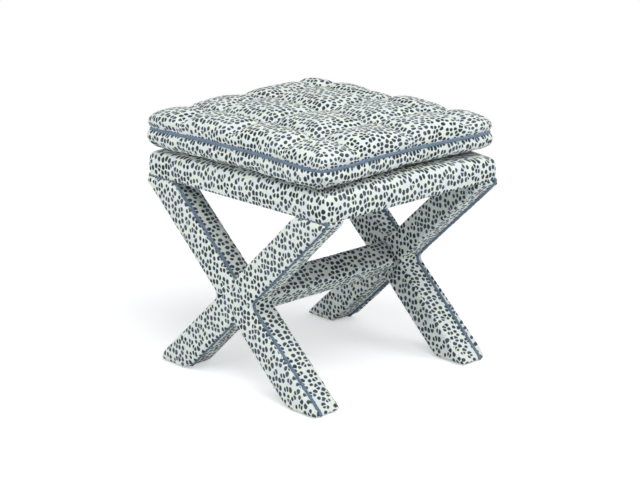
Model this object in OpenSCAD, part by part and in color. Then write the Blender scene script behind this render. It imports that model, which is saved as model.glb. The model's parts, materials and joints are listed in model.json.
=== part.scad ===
// Tufted ottoman: a pillow-top cushion on a covered deck, carried by two crossed-leg frames
// and a stretcher. X runs along the stretcher, Y across the crossed legs, Z up.
// The origin is on the floor, under the middle.

/* [Overall] */
// Width over the faces of the two crossed frames
base_w = 460; // [400:5:540]
// Depth of the deck, and of the crossed frames at their tops
base_d = 506; // [460:2:560]
// Height of the deck's underside above the floor
deck_under = 380; // [330:5:430]
// Thickness of the covered deck
deck_h = 48; // [42:1:60]

/* [Crossed frames] */
// Distance over the outer edges of the feet
foot_span = 465; // [420:1:500]
// Length of each foot along the floor
foot_len = 80; // [70:1:90]
// Depth of a covered leg along the stretcher
leg_depth = 50; // [46:1:60]
// Height of the padded crown on the outer face
leg_crown = 8; // [4:1:12]
// Side of the square wooden bars
bar_w = 36; // [30:1:38]

/* [Stretcher] */
// Side of the covered stretcher's square section
stretcher_w = 54; // [46:1:60]
// Side of the stretcher's wooden core
core_w = 34; // [26:1:38]

/* [Cushion] */
// How far the cushion's corners reach past the deck
cushion_reach = 9; // [2:1:14]
// How far its sides are drawn in between the corners
side_draw = 10; // [0:1:14]
// Height of its seam above the deck
seam_h = 48; // [36:1:60]
// Height of the crown above the seam
crown_h = 50; // [40:1:60]
// Depth of the channels between tufts
channel_d = 9; // [3:1:14]
// Depth of the sewn tufts
tuft_d = 22; // [14:1:28]

/* [Materials] */
// Thickness of the upholstery cloth with its backing
cloth_t = 1.6; // [1:0.1:2.4]
// Diameter of the welt cord
welt_d = 7; // [5:0.5:9]
// Thickness of the deck board
board_t = 12; // [9:1:18]
// Thickness of the deck foam
deck_foam_t = 7; // [4:1:12]
// Thickness of the foot glides
glide_t = 3; // [2:0.5:6]
// Diameter of the foot glides
glide_d = 24; // [16:1:30]

/* [Hidden] */

// Cloth, cord and wood colours
CLOTH = "#dbe2da";
CORD = "#6c86a6";
WOOD = "burlywood";
FOAM = "ivory";
STEEL = "silver";

// Clearances
soft_gap = 0.3; // between soft pieces that are curved
lap_gap = 0.1; // round the half-lap joints
screw_gap = 0.1; // round the shanks of screws, nails and ties
overrun = 1; // how far a cutter passes a face

// Heights
deck_top = deck_under + deck_h;
seam_z = deck_top + seam_h;

// Crossed frames: the legs' centrelines run from foot_y on the floor to top_y at the deck
foot_y = foot_span / 2 - foot_len / 2;
top_y = base_d / 2 - foot_len / 2;
leg_rise = deck_under - glide_t;
leg_run = foot_y + top_y;
leg_angle = atan(leg_rise / leg_run);
leg_w = foot_len * sin(leg_angle);
leg_slope = leg_run / leg_rise;
cross_z = glide_t + foot_y / leg_slope;
notch_rise = foot_len / 2 / leg_slope;
leg_reach = leg_rise + leg_run;
face_x = base_w / 2;
inner_x = face_x - leg_depth;
bar_in_x = inner_x + (leg_depth - bar_w) / 2;
bar_out_x = bar_in_x + bar_w;
bar_mid_x = (bar_in_x + bar_out_x) / 2;

// Welts of the crossed frames: each cord lies against chamfers, clear of the cloth
welt_r = welt_d / 2;
chamfer = (welt_r + soft_gap) * sqrt(2);
arc_steps = 8;

// Deck stack
rail_bottom = deck_under + cloth_t;
board_top = deck_top - cloth_t - deck_foam_t;
board_bottom = board_top - board_t;
rail_h = board_bottom - rail_bottom;
rail_w = 22;
side_rail_margin = 14; // how far the side rails reach inwards past the legs
side_rail_w = leg_depth + side_rail_margin;
deck_corner_r = 9;
deck_edge_r = 9;
deck_inside = cloth_t + soft_gap;
rail_inset = chamfer + cloth_t + soft_gap; // clear of the chamfered cloth at the deck's lower edge
foam_bottom = deck_under + chamfer + cloth_t;
hem_w = 18;
block_leg = 44;
dust_t = 1;
dust_margin = 6;
corner_steps = 4;

// Screws, nails and ties
screw_d = 4;
screw_head_d = 8;
screw_head_h = 3;
screw_len = 28;
lag_d = 8;
lag_head_d = 16;
lag_head_h = 5;
lag_grip = 34;
lag_inset = 19;
long_screw_d = 6;
long_screw_head_d = 12;
long_screw_head_h = 4;
long_screw_grip = 45;
nail_d = 3;
nail_len = 14;
tie_d = 2.4;
tab_d = 14;
tab_t = 1.2;

// Unit sides
FLIP = [-1, 1];

// How far the ends of a 45 degree chamfer shift along its faces, for each unit that a skin is set in
MITRE = tan(45 / 2);

// Sides of round pieces
SMALL_ROUND = 16;
LARGE_ROUND = 24;

// Rounded rectangle, counter-clockwise, with steps + 1 points a corner
function round_box(half_x, half_y, r, steps) = [for (q = [0:3], i = [0:steps])
    let (turn = 90 * (q + i / steps), sx = (q == 0 || q == 3) ? 1 : -1, sy = q < 2 ? 1 : -1)
    [sx * (half_x - r) + r * cos(turn), sy * (half_y - r) + r * sin(turn)]];

function at_height(outline, z) = [for (p = outline) [p.x, p.y, z]];
function middle(ring) = [for (k = [0:2]) [for (p = ring) 1] * [for (p = ring) p[k]] / len(ring)];

// Faces between rows of points: each row is a closed ring
function ring_faces(n, rows, first = 0) = [for (j = [0:rows - 2], i = [0:n - 1])
    let (a = first + j * n + i, b = first + j * n + (i + 1) % n)
    each [[a, b, b + n], [a, b + n, a + n]]];

// Closed skin through rings that run from the top down, with a flat fan at each end
module loft(rings) {
    n = len(rings[0]);
    last = len(rings) - 1;
    pole = n * len(rings);
    polyhedron(
        concat([for (ring = rings) each ring], [middle(rings[0]), middle(rings[last])]),
        concat(ring_faces(n, len(rings)),
            [for (i = [0:n - 1]) [pole, (i + 1) % n, i]],
            [for (i = [0:n - 1]) [pole + 1, last * n + i, last * n + (i + 1) % n]]));
}

// Cushion grid: where each grid line lies, how far out its ring reaches, as a share of the half size, and how
// high the crown is there. The last line is the seam, where the cloth is pinched in.
grid_shares = [0, 0.1, 0.24, 0.46, 0.54, 0.62, 0.7, 0.8, 0.88, 0.94, 0.975, 1];
reach_shares = [0, 0.1, 0.24, 0.46, 0.54, 0.62, 0.7, 0.8, 0.9, 0.965, 1, 1];
crown_shares = [1, 1, 1, 0.99, 0.98, 0.97, 0.955, 0.92, 0.82, 0.66, 0.4, 0];
tuft_line = 5;
tuft_shares = [-grid_shares[tuft_line], 0, grid_shares[tuft_line]];
channel_width_share = 0.09;
corner_cut_share = 0.055;
corner_power = 8;
fade_power = 6;
hip_power = 0.2; // how much the crown drops at the corners, where two sides meet
pinch = 6;
seam_lift = 4;
half_lines = len(grid_shares) - 1;
lines = 2 * half_lines + 1;

function side_of(i) = i < half_lines ? -1 : 1;
function line_share(i) = side_of(i) * grid_shares[abs(i - half_lines)];
function spread(i, j) = let (ring = max(abs(i - half_lines), abs(j - half_lines)))
    ring == 0 ? 1 : reach_shares[ring] / grid_shares[ring];
function crown_share(i) = crown_shares[abs(i - half_lines)];
function channel(s) = max([for (c = tuft_shares) exp(-pow((s - c) / channel_width_share, 2))]);
function fade(s) = 1 - pow(s, fade_power);
function tuft_drop(u, v) = channel_d * max(channel(u) * fade(v), channel(v) * fade(u))
    + (tuft_d - channel_d) * pow(channel(u) * channel(v), 2);

// Plan of the cushion: rounded corners, sides drawn in between them; inset is how far in from the outside
function half_x(inset) = base_w / 2 + cushion_reach - inset;
function half_y(inset) = base_d / 2 + cushion_reach - inset;
function plan_point(u, v, inset) =
    let (most = max(abs(u), abs(v)),
        cut = most == 0 ? 0 : corner_cut_share * pow(abs(u * v) / pow(most, 2), corner_power) * pow(most, 4))
    [u * (half_x(inset) * (1 - cut) - side_draw * pow(u, 2) * (1 - pow(v, 2))),
     v * (half_y(inset) * (1 - cut) - side_draw * pow(v, 2) * (1 - pow(u, 2)))];
function seam_height(u, v) = seam_z + seam_lift * (1 - pow(u * v, 2));

// Point of the crowned top on grid lines i and j, lowered by skin
function top_point(i, j, skin) =
    let (u = line_share(i), v = line_share(j),
        edge = max(abs(u), abs(v)) == 1,
        p = plan_point(u * spread(i, j), v * spread(i, j), skin + (edge ? pinch : 0)),
        low = min(crown_share(i), crown_share(j)), high = max(crown_share(i), crown_share(j)),
        rise = edge ? 0 : low * pow(high, hip_power))
    [p.x, p.y, seam_height(u, v) + (crown_h - skin) * rise - (edge ? 0 : tuft_drop(u, v))];
function top_points(skin) = [for (j = [0:lines - 1], i = [0:lines - 1]) top_point(i, j, skin)];

// Grid lines along the seam, counter-clockwise
rim = concat([for (i = [0:lines - 2]) [i, 0]], [for (j = [0:lines - 2]) [lines - 1, j]],
    [for (i = [lines - 1:-1:1]) [i, lines - 1]], [for (j = [lines - 1:-1:1]) [0, j]]);
function rim_index(k) = rim[k % len(rim)][1] * lines + rim[k % len(rim)][0];
function grid_faces(first, up) = [for (j = [0:lines - 2], i = [0:lines - 2])
    let (a = first + j * lines + i, b = a + 1, c = b + lines, d = a + lines)
    each up ? [[a, c, b], [a, d, c]] : [[a, b, c], [a, c, d]]];

// Ring of the lower band, below the seam
function band_ring(inset, z) = [for (k = rim)
    let (u = line_share(k[0]), v = line_share(k[1]), p = plan_point(u, v, inset)) [p.x, p.y, z]];
function seam_ring(skin) = [for (k = rim) top_point(k[0], k[1], skin)];

// Lower band: insets and heights, as shares of the tuck-in and of the seam's height over the deck
tuck_in = 26;
band_inset_shares = [-0.03, -0.03, 0.18, 0.55, 1];
band_height_shares = [0.74, 0.5, 0.24, 0.07, 0];
function band_rings(skin, floor_z) = [for (k = [0:len(band_inset_shares) - 1])
    band_ring(tuck_in * band_inset_shares[k] + skin,
        max(deck_top + seam_h * band_height_shares[k], floor_z))];

// Crowned top panel with its sewn tufts, one cloth thick
module cushion_top_cover() {
    count = lines * lines;
    color(CLOTH) polyhedron(
        concat(top_points(0), top_points(cloth_t)),
        concat(grid_faces(0, true), grid_faces(count, false),
            [for (k = [0:len(rim) - 1])
                let (a = rim_index(k), b = rim_index(k + 1))
                each [[a, b, b + count], [a, b + count, a + count]]]));
}

// Lower band and underside, one cloth thick
module cushion_base_cover() {
    drop = [for (p = seam_ring(0)) [p.x, p.y, p.z - soft_gap]];
    drop_in = [for (p = seam_ring(cloth_t)) [p.x, p.y, p.z - soft_gap]];
    outside = band_rings(0, deck_top);
    inside = band_rings(cloth_t, deck_top + cloth_t);
    last = len(outside) - 1;
    rings = concat([for (k = [last:-1:0]) inside[k]], [drop_in, drop], outside);
    color(CLOTH) loft(rings);
}

// Welt sewn into the cushion's seam, an unbroken ring that stands clear of the cloth above and below it
cord_sides = 8;
lean_above = atan(pinch / (crown_h * crown_shares[half_lines - 1]));
lean_below = atan((pinch - tuck_in * band_inset_shares[0]) / (seam_h * (1 - band_height_shares[0])));
welt_out = (welt_r + soft_gap) / cos(max(lean_above, lean_below));
module cushion_welt() {
    path = seam_ring(0);
    n = len(path);
    rings = [for (k = [0:n - 1])
        let (p = path[k], ahead = path[(k + 1) % n], behind = path[(k + n - 1) % n],
            along = [ahead.x - behind.x, ahead.y - behind.y],
            into = [p.x - behind.x, p.y - behind.y],
            out = [along.y, -along.x] / norm(along),
            turned = out * [into.y, -into.x] / norm(into),
            centre = [p.x, p.y] + out * welt_out / turned)
        [for (s = [0:cord_sides - 1]) let (turn = 360 * s / cord_sides, reach = welt_r * cos(turn))
            [centre.x + out.x * reach, centre.y + out.y * reach, p.z + welt_r * sin(turn)]]];
    color(CORD) polyhedron(
        [for (ring = rings) each ring],
        [for (k = [0:n - 1], s = [0:cord_sides - 1])
            let (a = k * cord_sides + s, b = k * cord_sides + (s + 1) % cord_sides,
                c = ((k + 1) % n) * cord_sides + (s + 1) % cord_sides, d = ((k + 1) % n) * cord_sides + s)
            each [[a, b, c], [a, c, d]]]);
}

// Places of the sewn tufts on the grid, and a loop over them
tuft_grid = [half_lines - tuft_line, half_lines, half_lines + tuft_line];
fill_skin = cloth_t + soft_gap;
fill_floor = deck_top + cloth_t + tab_t;
module at_tufts() {
    for (i = tuft_grid, j = tuft_grid) {
        p = top_point(i, j, cloth_t);
        translate([p.x, p.y, 0]) children();
    }
}

// Filling, shaped to the covers, with a channel for each tie
module cushion_fill() {
    count = lines * lines;
    rings = band_rings(fill_skin, fill_floor);
    n = len(rim);
    last = count + (len(rings) - 1) * n;
    pole = count + len(rings) * n;
    color(FOAM) difference() {
        polyhedron(
            concat(top_points(fill_skin), [for (ring = rings) each ring], [middle(rings[len(rings) - 1])]),
            concat(grid_faces(0, true),
                [for (k = [0:n - 1])
                    let (a = rim_index(k), b = rim_index(k + 1), c = count + (k + 1) % n, d = count + k)
                    each [[a, b, c], [a, c, d]]],
                ring_faces(n, len(rings), count),
                [for (k = [0:n - 1]) [pole, last + k, last + (k + 1) % n]]));
        at_tufts() translate([0, 0, deck_top])
            cylinder(d = tie_d + 2 * soft_gap, h = seam_h + crown_h, $fn = cord_sides);
    }
}

// Twine that holds each tuft down
module tuft_ties() {
    color(CORD) for (i = tuft_grid, j = tuft_grid) {
        p = top_point(i, j, cloth_t);
        translate([p.x, p.y, fill_floor])
            cylinder(d = tie_d, h = p.z - soft_gap - fill_floor, $fn = SMALL_ROUND);
    }
}

// Tab that each tie is knotted through, under the filling
module tuft_tabs() {
    color(WOOD) at_tufts() translate([0, 0, deck_top + cloth_t])
        cylinder(d = tab_d, h = tab_t, $fn = SMALL_ROUND);
}

// Plan of the deck, set in from its faces
function deck_outline(inset) =
    round_box(base_w / 2 - inset, base_d / 2 - inset, max(deck_corner_r - inset, cloth_t), corner_steps);
module deck_slab(inset, bottom, height) {
    translate([0, 0, bottom]) linear_extrude(height) polygon(deck_outline(inset));
}

// Rings of the deck's rounded top edge, from the top down, for a skin this far in
function edge_rings(skin) = [for (k = [0:corner_steps])
    let (turn = 90 * k / corner_steps, r = deck_edge_r - skin)
    at_height(deck_outline(deck_edge_r - r * sin(turn)), deck_top - deck_edge_r + r * cos(turn))];

// Cloth round the deck, chamfered at its lower edge for the welts and turned under at its hem
module deck_cover() {
    outside = edge_rings(0);
    inside = edge_rings(cloth_t);
    turned_in = cloth_t * MITRE;
    color(CLOTH) loft(concat(outside,
        [at_height(deck_outline(0), deck_under + chamfer),
            at_height(deck_outline(chamfer), deck_under),
            at_height(deck_outline(hem_w), deck_under),
            at_height(deck_outline(hem_w), rail_bottom),
            at_height(deck_outline(chamfer + turned_in), rail_bottom),
            at_height(deck_outline(cloth_t), deck_under + chamfer + turned_in)],
        [for (k = [corner_steps:-1:0]) inside[k]]));
}

// Foam over the board and round its edges
module deck_foam() {
    pocket_bottom = foam_bottom - overrun;
    color(FOAM) difference() {
        loft(concat(edge_rings(deck_inside), [at_height(deck_outline(deck_inside), foam_bottom)]));
        deck_slab(rail_inset, pocket_bottom, board_top - pocket_bottom);
    }
}

// Places of the screws that hold the board to its rails
side_screw_in_share = 0.7;
side_screw_along_share = 0.3;
end_screw_along_share = 0.15;
side_screw_x = base_w / 2 - side_rail_w * side_screw_in_share;
side_screw_y = base_d * side_screw_along_share;
end_screw_x = base_w * end_screw_along_share;
end_screw_y = base_d / 2 - rail_inset - rail_w / 2;
module at_board_screws() {
    for (sx = FLIP, sy = FLIP) {
        translate([sx * side_screw_x, sy * side_screw_y, board_top]) children();
        translate([sx * end_screw_x, sy * end_screw_y, board_top]) children();
    }
}
module board_screw_shape(gap) {
    translate([0, 0, -screw_head_h - gap])
        cylinder(d = screw_head_d + 2 * gap, h = screw_head_h + gap, $fn = SMALL_ROUND);
    translate([0, 0, -screw_len - gap])
        cylinder(d = screw_d + 2 * gap, h = screw_len + gap, $fn = SMALL_ROUND);
}

module deck_board() {
    color(WOOD) difference() {
        deck_slab(rail_inset, board_bottom, board_t);
        at_board_screws() board_screw_shape(screw_gap);
    }
}
module board_screws() {
    color(STEEL) at_board_screws() board_screw_shape(0);
}

// Lag screws that run from the side rails down into the four leg tops
module at_leg_tops() {
    for (sx = FLIP, sy = FLIP) translate([sx * bar_mid_x, sy * (top_y - lag_inset), 0]) children();
}
module lag_shape(gap) {
    shank_h = board_bottom - deck_under + lag_grip - lag_head_h;
    translate([0, 0, board_bottom - lag_head_h - gap])
        cylinder(d = lag_head_d + 2 * gap, h = lag_head_h + gap, $fn = LARGE_ROUND);
    translate([0, 0, deck_under - lag_grip - gap])
        cylinder(d = lag_d + 2 * gap, h = shank_h, $fn = LARGE_ROUND);
}
module frame_lag_screws() {
    color(STEEL) at_leg_tops() lag_shape(0);
}

// Rails under the board: wide ones over the crossed frames, narrow ones between them
module side_rail(side) {
    color(WOOD) difference() {
        intersection() {
            deck_slab(rail_inset, rail_bottom, rail_h);
            translate([side * (base_w / 2 - side_rail_w / 2), 0, rail_bottom + rail_h / 2])
                cube([side_rail_w, base_d, rail_h], center = true);
        }
        at_board_screws() board_screw_shape(screw_gap);
        at_leg_tops() lag_shape(screw_gap);
    }
}
module end_rail(side) {
    reach = base_w / 2 - side_rail_w;
    middle_y = side * end_screw_y;
    color(WOOD) difference() {
        translate([0, middle_y, rail_bottom + rail_h / 2]) cube([2 * reach, rail_w, rail_h], center = true);
        at_board_screws() board_screw_shape(screw_gap);
    }
}
module left_rail() { side_rail(-1); }
module right_rail() { side_rail(1); }
module front_rail() { end_rail(-1); }
module back_rail() { end_rail(1); }

// Glued blocks in the corners between the rails
module corner_blocks() {
    x = base_w / 2 - side_rail_w;
    y = base_d / 2 - rail_inset - rail_w;
    color(WOOD) for (sx = FLIP, sy = FLIP)
        translate([sx * x, sy * y, rail_bottom]) scale([sx, sy, 1]) translate([-block_leg, -block_leg, 0])
            linear_extrude(rail_h) polygon([[block_leg, block_leg], [0, block_leg], [block_leg, 0]]);
}

// Cloth that closes the underside, between the crossed frames
module dust_cover() {
    half_w = inner_x - dust_margin;
    half_d = base_d / 2 - dust_margin;
    color("dimgray") translate([-half_w, -half_d, deck_under - dust_t])
        cube([2 * half_w, 2 * half_d, dust_t]);
}

// Section of a covered leg, set in by skin: square, with a crowned outer face and a chamfer for each welt
function leg_section(skin) =
    let (half = leg_w / 2 - skin, cut = chamfer + skin * MITRE, crown_half = leg_w / 2 - cut)
    concat([[-inner_x - skin, -half], [-inner_x - skin, half], [-face_x + cut, half]],
        [for (k = [0:arc_steps]) let (s = 1 - 2 * k / arc_steps)
            [-face_x + skin - leg_crown * (1 - s * s), crown_half * s]],
        [[-face_x + cut, -half]]);
module bar_section(gap) {
    translate([-bar_out_x - gap, -bar_w / 2 - gap]) square([bar_w + 2 * gap, bar_w + 2 * gap]);
}

// A section run along a leg: lean is -1 for the through leg and 1 for the one that meets it
THROUGH = -1;
LAPPED = 1;
module along_leg(lean) {
    translate([0, 0, cross_z]) rotate([lean * (90 - leg_angle), 0, 0])
        translate([0, 0, -leg_reach]) linear_extrude(2 * leg_reach) children();
}

// Room between the floor and the deck, set in by skin: the crown is drawn in to the sole, and to the welt
module leg_envelope(skin) {
    reach = leg_crown + overrun;
    slant = skin * sqrt(2);
    outline = [
        [-inner_x + overrun, glide_t + skin],
        [-face_x + skin * MITRE, glide_t + skin],
        [-face_x - reach, glide_t + slant + reach],
        [-face_x - reach, deck_under - chamfer - slant - reach],
        [-face_x + chamfer + skin * MITRE, deck_under - skin],
        [-inner_x + overrun, deck_under - skin]];
    rotate([90, 0, 0]) translate([0, 0, -base_d]) linear_extrude(2 * base_d) polygon(outline);
}

// A covered leg, or the hollow inside it
module leg_body(lean, skin) {
    intersection() {
        along_leg(lean) polygon(leg_section(skin));
        leg_envelope(skin);
    }
}
module leg_bar(lean) {
    intersection() {
        along_leg(lean) bar_section(0);
        leg_envelope(cloth_t);
    }
}

// What lies on one side of the through leg: above it, or below it
ABOVE = -1;
BELOW = 1;
module beside_through_leg(side) {
    edge = side == BELOW ? leg_w / 2 : -leg_w / 2 - base_d;
    along_leg(THROUGH) translate([-base_w, edge]) square([base_w, base_d]);
}

// Screws and nails of one frame, or the bores for them
module long_screw_shape(gap) {
    shank_h = bar_out_x - inner_x + long_screw_grip;
    translate([-bar_out_x, 0, cross_z]) rotate([0, 90, 0]) {
        cylinder(d = long_screw_head_d + 2 * gap, h = long_screw_head_h + gap, $fn = LARGE_ROUND);
        cylinder(d = long_screw_d + 2 * gap, h = shank_h + gap, $fn = LARGE_ROUND);
    }
}
module glide_nails(gap) {
    for (sy = FLIP) translate([-bar_mid_x, sy * foot_y, 0])
        cylinder(d = nail_d + 2 * gap, h = glide_t + nail_len + gap, $fn = SMALL_ROUND);
}
module frame_bores() {
    long_screw_shape(screw_gap);
    glide_nails(screw_gap);
    at_leg_tops() lag_shape(screw_gap);
}

// The two wooden bars, half-lapped where they cross
module lap_cut(lean) {
    start = lean == LAPPED ? -bar_out_x - overrun : -bar_mid_x;
    along_leg(lean) translate([start, -bar_w / 2 - lap_gap])
        square([bar_w / 2 + overrun, bar_w + 2 * lap_gap]);
}
module through_bar() {
    color(WOOD) difference() {
        leg_bar(THROUGH);
        lap_cut(LAPPED);
        frame_bores();
    }
}
module lapped_bar() {
    color(WOOD) difference() {
        leg_bar(LAPPED);
        lap_cut(THROUGH);
        frame_bores();
    }
}

// Foam round the bars, thicker on the crowned face
module leg_foam(lean) {
    color(FOAM) difference() {
        leg_body(lean, cloth_t + soft_gap);
        along_leg(lean) bar_section(0);
        children();
        frame_bores();
    }
}
module through_foam() {
    leg_foam(THROUGH) along_leg(LAPPED) bar_section(soft_gap);
}
module lapped_foam(side) {
    color(FOAM) intersection() {
        leg_foam(LAPPED);
        beside_through_leg(side);
    }
}

// Cloth round the legs
module leg_cover(lean) {
    color(CLOTH) difference() {
        leg_body(lean, 0);
        leg_body(lean, cloth_t);
        children();
        frame_bores();
    }
}
module through_cover() {
    leg_cover(THROUGH) along_leg(LAPPED) bar_section(soft_gap);
}
module lapped_cover(side) {
    color(CLOTH) intersection() {
        leg_cover(LAPPED);
        beside_through_leg(side);
    }
}

// Welt round the outline of the crowned face, in two runs that end at the floor
function edge_y(lean, side, z) = -lean * (-foot_y + (z - glide_t) * leg_slope) + side * foot_len / 2;
welt_foot_z = glide_t + welt_r;
outer_run = [
    [edge_y(THROUGH, -1, welt_foot_z), welt_foot_z],
    [-foot_len / 2, cross_z],
    [edge_y(LAPPED, -1, deck_under), deck_under],
    [edge_y(LAPPED, 1, deck_under), deck_under],
    [0, cross_z + notch_rise],
    [edge_y(THROUGH, -1, deck_under), deck_under],
    [edge_y(THROUGH, 1, deck_under), deck_under],
    [foot_len / 2, cross_z],
    [edge_y(LAPPED, 1, welt_foot_z), welt_foot_z]];
inner_run = [
    [edge_y(THROUGH, 1, welt_foot_z), welt_foot_z],
    [0, cross_z - notch_rise],
    [edge_y(LAPPED, -1, welt_foot_z), welt_foot_z]];
module cord_run(run) {
    for (k = [0:len(run) - 2]) hull() {
        translate([-face_x, run[k][0], run[k][1]]) sphere(d = welt_d, $fn = 10);
        translate([-face_x, run[k + 1][0], run[k + 1][1]]) sphere(d = welt_d, $fn = 10);
    }
}
module frame_welt() {
    color(CORD) {
        cord_run(outer_run);
        cord_run(inner_run);
    }
}

module left_through_bar() { through_bar(); }
module left_lapped_bar() { lapped_bar(); }
module left_through_foam() { through_foam(); }
module left_upper_foam() { lapped_foam(ABOVE); }
module left_lower_foam() { lapped_foam(BELOW); }
module left_through_cover() { through_cover(); }
module left_upper_cover() { lapped_cover(ABOVE); }
module left_lower_cover() { lapped_cover(BELOW); }
module left_frame_welt() { frame_welt(); }

// The right frame is the left one's mirror image
MIRROR = [1, 0, 0];
module right_through_bar() { mirror(MIRROR) through_bar(); }
module right_lapped_bar() { mirror(MIRROR) lapped_bar(); }
module right_through_foam() { mirror(MIRROR) through_foam(); }
module right_upper_foam() { mirror(MIRROR) lapped_foam(ABOVE); }
module right_lower_foam() { mirror(MIRROR) lapped_foam(BELOW); }
module right_through_cover() { mirror(MIRROR) through_cover(); }
module right_upper_cover() { mirror(MIRROR) lapped_cover(ABOVE); }
module right_lower_cover() { mirror(MIRROR) lapped_cover(BELOW); }
module right_frame_welt() { mirror(MIRROR) frame_welt(); }

// Stretcher: a square section turned on its edge, between the frames' inner faces
stretcher_r = 8;
module along_stretcher(reach) {
    translate([-reach, 0, cross_z]) rotate([90, 0, 90]) linear_extrude(2 * reach) rotate(45) children();
}
module stretcher_section(skin) {
    half = stretcher_w / 2 - skin;
    polygon(round_box(half, half, stretcher_r - skin, corner_steps));
}
module stretcher_cover() {
    color(CLOTH) along_stretcher(inner_x) difference() {
        stretcher_section(0);
        stretcher_section(cloth_t);
    }
}
module stretcher_foam() {
    color(FOAM) along_stretcher(inner_x) difference() {
        stretcher_section(cloth_t + soft_gap);
        square(core_w, center = true);
    }
}
module stretcher_core() {
    color(WOOD) difference() {
        along_stretcher(inner_x) square(core_w, center = true);
        long_screw_shape(screw_gap);
        mirror(MIRROR) long_screw_shape(screw_gap);
    }
}
module stretcher_screws() {
    color(STEEL) {
        long_screw_shape(0);
        mirror(MIRROR) long_screw_shape(0);
    }
}

// Glide under each foot, with the nail that holds it
module frame_glides() {
    for (sy = FLIP) translate([-bar_mid_x, sy * foot_y, 0])
        cylinder(d = glide_d, h = glide_t, $fn = LARGE_ROUND);
    glide_nails(0);
}
module foot_glides() {
    color("dimgray") {
        frame_glides();
        mirror(MIRROR) frame_glides();
    }
}

cushion_top_cover();
cushion_base_cover();
cushion_welt();
cushion_fill();
tuft_ties();
tuft_tabs();
deck_cover();
deck_foam();
deck_board();
left_rail();
right_rail();
front_rail();
back_rail();
corner_blocks();
board_screws();
dust_cover();
frame_lag_screws();
left_through_bar();
left_lapped_bar();
left_through_foam();
left_upper_foam();
left_lower_foam();
left_through_cover();
left_upper_cover();
left_lower_cover();
left_frame_welt();
right_through_bar();
right_lapped_bar();
right_through_foam();
right_upper_foam();
right_lower_foam();
right_through_cover();
right_upper_cover();
right_lower_cover();
right_frame_welt();
stretcher_core();
stretcher_foam();
stretcher_cover();
stretcher_screws();
foot_glides();
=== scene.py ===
"""Looks of a tufted ottoman: a pillow-top cushion on a covered deck, carried by crossed-leg frames.

Everything is in metres, in the frame's own axes: X along the stretcher, Y across the crossed legs, Z up.
"""
import json
import math

import bmesh
import bpy
import numpy as np
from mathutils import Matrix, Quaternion, Vector, noise


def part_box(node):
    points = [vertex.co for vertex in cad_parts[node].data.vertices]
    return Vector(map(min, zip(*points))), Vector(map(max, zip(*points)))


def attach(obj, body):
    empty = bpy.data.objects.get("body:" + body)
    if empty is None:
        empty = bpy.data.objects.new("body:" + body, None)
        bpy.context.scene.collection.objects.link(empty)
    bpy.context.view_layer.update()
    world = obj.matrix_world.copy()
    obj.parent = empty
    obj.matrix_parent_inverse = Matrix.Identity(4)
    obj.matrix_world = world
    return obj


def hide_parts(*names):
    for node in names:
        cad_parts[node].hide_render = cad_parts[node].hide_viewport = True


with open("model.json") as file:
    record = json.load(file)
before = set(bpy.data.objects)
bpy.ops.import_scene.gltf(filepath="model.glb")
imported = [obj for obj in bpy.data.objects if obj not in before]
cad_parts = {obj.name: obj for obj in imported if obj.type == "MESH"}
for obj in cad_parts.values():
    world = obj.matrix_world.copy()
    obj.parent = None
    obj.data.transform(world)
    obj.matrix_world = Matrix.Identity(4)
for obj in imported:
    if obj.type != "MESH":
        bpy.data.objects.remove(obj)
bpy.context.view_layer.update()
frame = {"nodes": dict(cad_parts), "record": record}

MM = 0.001
TINY = 1e-7

# Sizes that come from the frame
DECK_LOW, DECK_HIGH = (np.array(corner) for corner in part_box("deck_cover"))
HALF_W = DECK_HIGH[0]
HALF_D = DECK_HIGH[1]
DECK_UNDER = DECK_LOW[2]
DECK_TOP = DECK_HIGH[2]
LEG_LOW, LEG_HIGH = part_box("left_through_cover")
SOLE_Z = LEG_LOW[2]
FOOT_REACH = -LEG_LOW[1]
INNER_X = -LEG_HIGH[0]
CROWN = -LEG_LOW[0] - HALF_W
SEAM_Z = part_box("cushion_top_cover")[0][2]
PILLOW_TOP_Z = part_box("cushion_top_cover")[1][2]
STRETCHER_LOW, STRETCHER_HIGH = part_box("stretcher_cover")

# Sizes that the photograph gives. The welts are a little thinner than in the part's source
FOOT_LEN = 80 * MM
WELT_R = 3.3 * MM
CUSHION_REACH = 9 * MM
SIDE_DRAW = 10 * MM
SEAM_LIFT = 4 * MM
CORNER_CUT = 0.055
CORNER_POWER = 8

# The photograph's camera
CAMERA_PLACE = (-2.4256, -2.5848, 1.3006)
CAMERA_TARGET = (-0.0005, 0.0049, 0.2511)
CAMERA_LENS_MM = 104.65
CAMERA_ROLL = math.radians(0.4)
SENSOR_MM = 36


def add_camera():
    data = bpy.data.cameras.new("camera")
    data.lens = CAMERA_LENS_MM
    data.sensor_width = SENSOR_MM
    camera = bpy.data.objects.new("camera", data)
    bpy.context.scene.collection.objects.link(camera)
    aim = Vector(CAMERA_TARGET) - Vector(CAMERA_PLACE)
    camera.location = CAMERA_PLACE
    roll = Quaternion((0, 0, 1), -CAMERA_ROLL)
    camera.rotation_euler = (aim.to_track_quat("-Z", "Y") @ roll).to_euler()
    bpy.context.scene.camera = camera


# Shader building


def linear(rgb):
    """A colour written as the eye reads it, 0 to 255, as the shader needs it."""
    shares = [c / 255 for c in rgb]
    return tuple(s / 12.92 if s <= 0.04045 else ((s + 0.055) / 1.055) ** 2.4 for s in shares) + (1.0,)


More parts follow.
